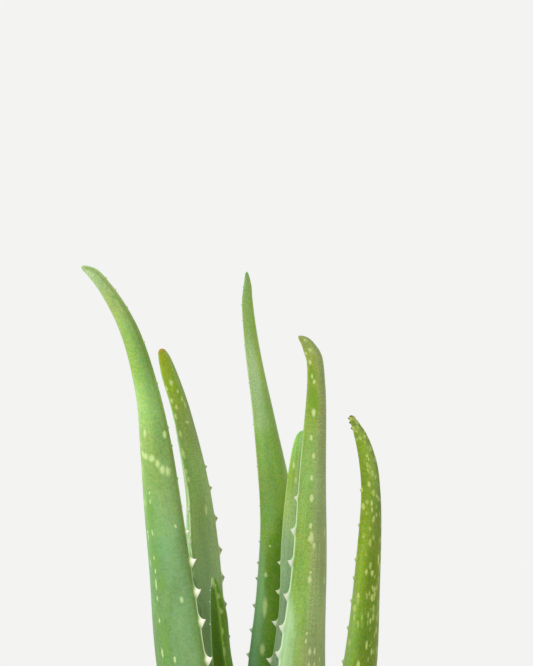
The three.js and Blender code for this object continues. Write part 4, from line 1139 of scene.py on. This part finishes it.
def scatter_lumps(name, count, sizes, inner, outer, sink, draw):
    """Small uneven lumps that lie in the soil's top, joined in one mesh."""
    vertices, faces = [], []
    ball = bmesh.new()
    bmesh.ops.create_icosphere(ball, subdivisions=2, radius=1)
    unit = [v.co.copy() for v in ball.verts]
    triangles = [[v.index for v in f.verts] for f in ball.faces]
    ball.free()
    for _ in range(count):
        size = sizes[0] + (sizes[1] - sizes[0]) * draw.random() ** 2
        radius = math.sqrt(draw.uniform(inner ** 2, outer ** 2))
        angle = draw.uniform(0, 2 * math.pi)
        x, y = radius * math.cos(angle), radius * math.sin(angle)
        stretch = Vector((draw.uniform(0.7, 1.25), draw.uniform(0.7, 1.25), draw.uniform(0.55, 0.9)))
        spin = Matrix.Rotation(draw.uniform(0, 2 * math.pi), 3, "Z")
        rough = Vector((draw.uniform(0, 99), draw.uniform(0, 99), 0))
        height = soil_height(x, y) + size * (stretch.z - sink)
        if radius < CROWN_RADIUS * 2:
            height = min(height, LEAF_FOOT - GAP - size * stretch.z * 1.3)
        start = len(vertices)
        for p in unit:
            swell = 1 + 0.28 * noise.noise(p * 1.4 + rough) + 0.12 * noise.noise(p * 3.5 + rough)
            shaped = spin @ Vector((p.x * stretch.x, p.y * stretch.y, p.z * stretch.z))
            vertices.append(tuple(shaped * swell * size + Vector((x, y, height))))
        faces += [[start + i for i in t] for t in triangles]
    made = mesh_object(name, vertices, faces)
    shade_smooth(made)
    return made


def scarred(points):
    """Ring scars and a woody unevenness on the crown."""
    moved = points.copy()
    for ring in moved:
        for p in ring:
            if p[2] > CROWN_BOTTOM - GAP:
                rough = noise.noise(Vector(p) / 4) + 0.5 * math.sin(p[2] * 2.1)
                p[:2] *= 1 - 0.01 * (rough + 1.5)
    return moved


def build_crown():
    corners = [(0, STUB_BOTTOM, 0), (STUB_RADIUS, STUB_BOTTOM, 0.8), (STUB_RADIUS, CROWN_BOTTOM, 1.5),
               (CROWN_RADIUS, CROWN_EDGE, 1.2)]
    for i in range(1, DOME_STEPS):
        angle = math.pi / 2 * i / DOME_STEPS
        rise = (CROWN_TOP - CROWN_EDGE) * math.sin(angle)
        corners.append((CROWN_RADIUS * math.cos(angle), CROWN_EDGE + rise, 0))
    corners.append((0, CROWN_TOP, 0))
    return turned("crown", fine_profile(corners, 1.2), CROWN_SIDES, scarred)


def clay_material():
    g = Graph("fired_clay")
    place = g.place()
    height = g.node("SeparateXYZ", {0: place}).outputs[2]
    clouds = g.noise(place, 28.0, 4.0, 0.55)
    grain = g.noise(place, 900.0, 3.0, 0.6)
    spots = g.noise(place, 260.0, 3.0, 0.6)
    skin = g.mix(g.between(clouds, 0.35, 0.68), srgb(*CLAY_DARK), srgb(*CLAY_LIGHT))
    skin = g.mix(g.between(grain, 0.45, 0.8, 0.0, 0.25), skin, srgb(*CLAY_DUST))
    lime = g.noise(place, 42.0, 5.0, 0.65)
    rim_share = g.between(height, 0.085, 0.12, 0.25, 0.75)
    lime = g.times(g.between(lime, 0.52, 0.72), rim_share)
    skin = g.mix(g.times(lime, 0.6), skin, srgb(*CLAY_LIME))
    skin = g.mix(g.between(spots, 0.66, 0.78, 0.0, 0.4), skin, srgb(*CLAY_PIT))
    turning = g.node("TexWave", {"Vector": place, "Scale": 140.0, "Distortion": 1.2, "Detail": 2.0,
                                 "Detail Scale": 1.5}, wave_type="BANDS", bands_direction="Z").outputs[1]
    relief = g.math("ADD", g.times(turning, 0.35), g.times(grain, 0.65))
    return g.surface(skin, g.between(clouds, 0.3, 0.7, 0.78, 0.92), g.bump(relief, 0.35, 0.0005), 0.3)


def earth_material(name, dark, light, scale):
    g = Graph(name)
    place = g.place()
    coarse = g.noise(place, 90.0 * scale, 4.0, 0.6)
    fine = g.noise(place, 900.0 * scale, 4.0, 0.7)
    skin = g.mix(g.between(coarse, 0.35, 0.65), srgb(*dark), srgb(*light))
    skin = g.mix(g.between(fine, 0.5, 0.75, 0.0, 0.5), skin, srgb(*(min(255, c * 1.5) for c in light)))
    return g.surface(skin, g.between(fine, 0.3, 0.7, 0.85, 1.0), g.bump(fine, 0.6, 0.0006), 0.2)


def crown_material():
    """Dry and woody low down, and the pale green of leaf sheaths at the growing point."""
    g = Graph("crown_skin")
    place = g.place()
    height = g.node("SeparateXYZ", {0: place}).outputs[2]
    uneven = g.add_product(g.noise(place, 120.0, 3.0), 0.008, height)
    fibres = g.noise(g.node("VectorMath", {0: place, 1: (1.0, 1.0, 0.15)}, operation="MULTIPLY").outputs[0],
                     900.0, 3.0, 0.6)
    skin = g.mix(g.between(uneven, 0.119, 0.129), srgb(*CROWN_WOOD), srgb(*CROWN_GREEN))
    skin = g.mix(g.between(fibres, 0.4, 0.7, 0.0, 0.5), skin, srgb(*CROWN_FIBRE))
    return g.surface(skin, g.between(fibres, 0.3, 0.7, 0.55, 0.75), g.bump(fibres, 0.5, 0.0006), 0.5)


def wear(made, material):
    made.data.materials.clear()
    made.data.materials.append(material)
    return made


def place_piece(made, material, slot, *nodes):
    wear(made, material)
    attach(made, "root")
    if nodes:
        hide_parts(*nodes)


def slab_cutter():
    """The room of the soil, below every leaf."""
    size = pot_inner_radius(SOIL_TOP)
    bottom = LEAF_FOOT - SOIL_TOP
    profile = np.array([(0, bottom), (size, bottom), (size, LEAF_FOOT), (0, LEAF_FOOT)], float)
    return turned("soil_room", profile, 48)


def crown_cutter():
    profile = [(0, STUB_BOTTOM - GAP), (STUB_RADIUS + GAP, STUB_BOTTOM - GAP),
               (STUB_RADIUS + GAP, CROWN_BOTTOM - GAP), (CROWN_RADIUS + GAP, CROWN_EDGE - GAP)]
    for i in range(DOME_STEPS):
        angle = math.pi / 2 * i / DOME_STEPS
        height = CROWN_EDGE + (CROWN_TOP + GAP - CROWN_EDGE) * math.sin(angle)
        profile.append(((CROWN_RADIUS + GAP) * math.cos(angle), height + GAP * math.cos(angle)))
    profile.append((0, CROWN_TOP + GAP))
    return turned("crown_room", np.array(profile, float), ROOM_SIDES)


def extent(made):
    corners = np.array([v.co for v in made.data.vertices])
    return corners.min(0), corners.max(0)


def boxes_meet(a, b):
    low_a, high_a = extent(a)
    low_b, high_b = extent(b)
    return bool((low_a < high_b).all() and (low_b < high_a).all())


def build_leaves():
    """From the middle of the rosette outwards, each cut back to the room that the inner ones leave."""
    rooms = [slab_cutter(), crown_cutter()]
    for seed, leaf in enumerate(LEAVES):
        made = build_leaf(leaf)
        for room in rooms:
            if boxes_meet(made, room):
                solid_difference(made, room)
        slot = "young_leaf" if "young" in leaf["name"] else "leaf"
        place_piece(made, leaf_material(leaf, seed), slot, leaf["name"])
        rooms.append(leaf_cutter(leaf))
    for room in rooms:
        bpy.data.objects.remove(room)


def build_ground_and_pot():
    draw = random.Random(7)
    place_piece(build_pot(), clay_material(), "terracotta", "pot")
    earth = earth_material("potting_soil", SOIL_DARK, SOIL_LIGHT, 1.0)
    grit = earth_material("perlite", PERLITE_DARK, PERLITE_LIGHT, 1.5)
    place_piece(build_soil(), earth, "soil", "soil")
    edge = pot_inner_radius(SOIL_TOP) - 2
    crumbs = scatter_lumps("soil_crumbs", 700, (0.4, 1.6), inner=24, outer=edge, sink=0.5, draw=draw)
    place_piece(crumbs, earth, "soil")
    grains = scatter_lumps("soil_perlite", 60, (0.6, 1.5), inner=30, outer=edge, sink=0.45, draw=draw)
    place_piece(grains, grit, "soil")
    place_piece(build_crown(), crown_material(), "stem", "stem")


def set_camera():
    camera = bpy.data.objects.new("camera", bpy.data.cameras.new("camera"))
    bpy.context.scene.collection.objects.link(camera)
    camera.location = CAMERA_PLACE
    camera.rotation_euler = (math.pi / 2, 0, 0)
    camera.data.lens = CAMERA_LENS
    camera.data.sensor_width = CAMERA_SENSOR
    camera.data.clip_start = 0.02
    camera.data.clip_end = 20
    bpy.context.scene.camera = camera


def add_area_light(name, place, target, size, power, color):
    light = bpy.data.lights.new(name, "AREA")
    light.size = size
    light.energy = power
    light.color = color
    holder = bpy.data.objects.new(name, light)
    bpy.context.scene.collection.objects.link(holder)
    holder.location = place
    aim = Vector(target) - Vector(place)
    holder.rotation_euler = aim.to_track_quat("-Z", "Y").to_euler()


def set_world():
    """Even pale studio surroundings, which show a little brighter than they light."""
    world = bpy.data.worlds.new("studio")
    bpy.context.scene.world = world
    world.use_nodes = True
    nodes, links = world.node_tree.nodes, world.node_tree.links
    shown = nodes["Background"]
    shown.inputs["Color"].default_value = srgb(*STUDIO_PALE)
    lighting = nodes.new("ShaderNodeBackground")
    lighting.inputs["Color"].default_value = (1, 1, 1, 1)
    lighting.inputs["Strength"].default_value = STUDIO_LIGHT
    path = nodes.new("ShaderNodeLightPath")
    chosen = nodes.new("ShaderNodeMixShader")
    links.new(path.outputs["Is Camera Ray"], chosen.inputs[0])
    links.new(lighting.outputs[0], chosen.inputs[1])
    links.new(shown.outputs[0], chosen.inputs[2])
    links.new(chosen.outputs[0], nodes["World Output"].inputs["Surface"])


def add_floor():
    """A pale round floor that fades out at its edge into the surroundings."""
    mesh = bpy.data.meshes.new("floor")
    net = bmesh.new()
    bmesh.ops.create_circle(net, cap_ends=True, radius=FLOOR_RADIUS, segments=128)
    net.to_mesh(mesh)
    net.free()
    floor = bpy.data.objects.new("floor", mesh)
    bpy.context.scene.collection.objects.link(floor)
    floor.location.z = -0.0005
    g = Graph("pale_floor")
    place = g.place()
    reach = g.node("VectorMath", {0: place}, operation="LENGTH").outputs["Value"]
    g.put(g.shader.inputs["Alpha"], g.between(reach, FLOOR_RADIUS * 0.45, FLOOR_RADIUS * 0.98, 1.0, 0.0))
    g.shader.inputs["Base Color"].default_value = srgb(*FLOOR_PALE)
    g.shader.inputs["Roughness"].default_value = 0.9
    g.shader.inputs["Specular IOR Level"].default_value = 0.1
    wear(floor, g.material)


def set_lights():
    add_area_light("window", (-1.15, -1.0, 1.25), LEAVES_MIDDLE, size=0.9, power=19, color=(1, 0.99, 0.97))
    add_area_light("rim", (-1.1, 0.9, 0.8), LEAVES_MIDDLE, size=0.8, power=8, color=(0.97, 0.99, 1))


set_camera()
bpy.context.scene.view_settings.view_transform = "Standard"
set_world()
set_lights()
add_floor()
build_leaves()
build_ground_and_pot()
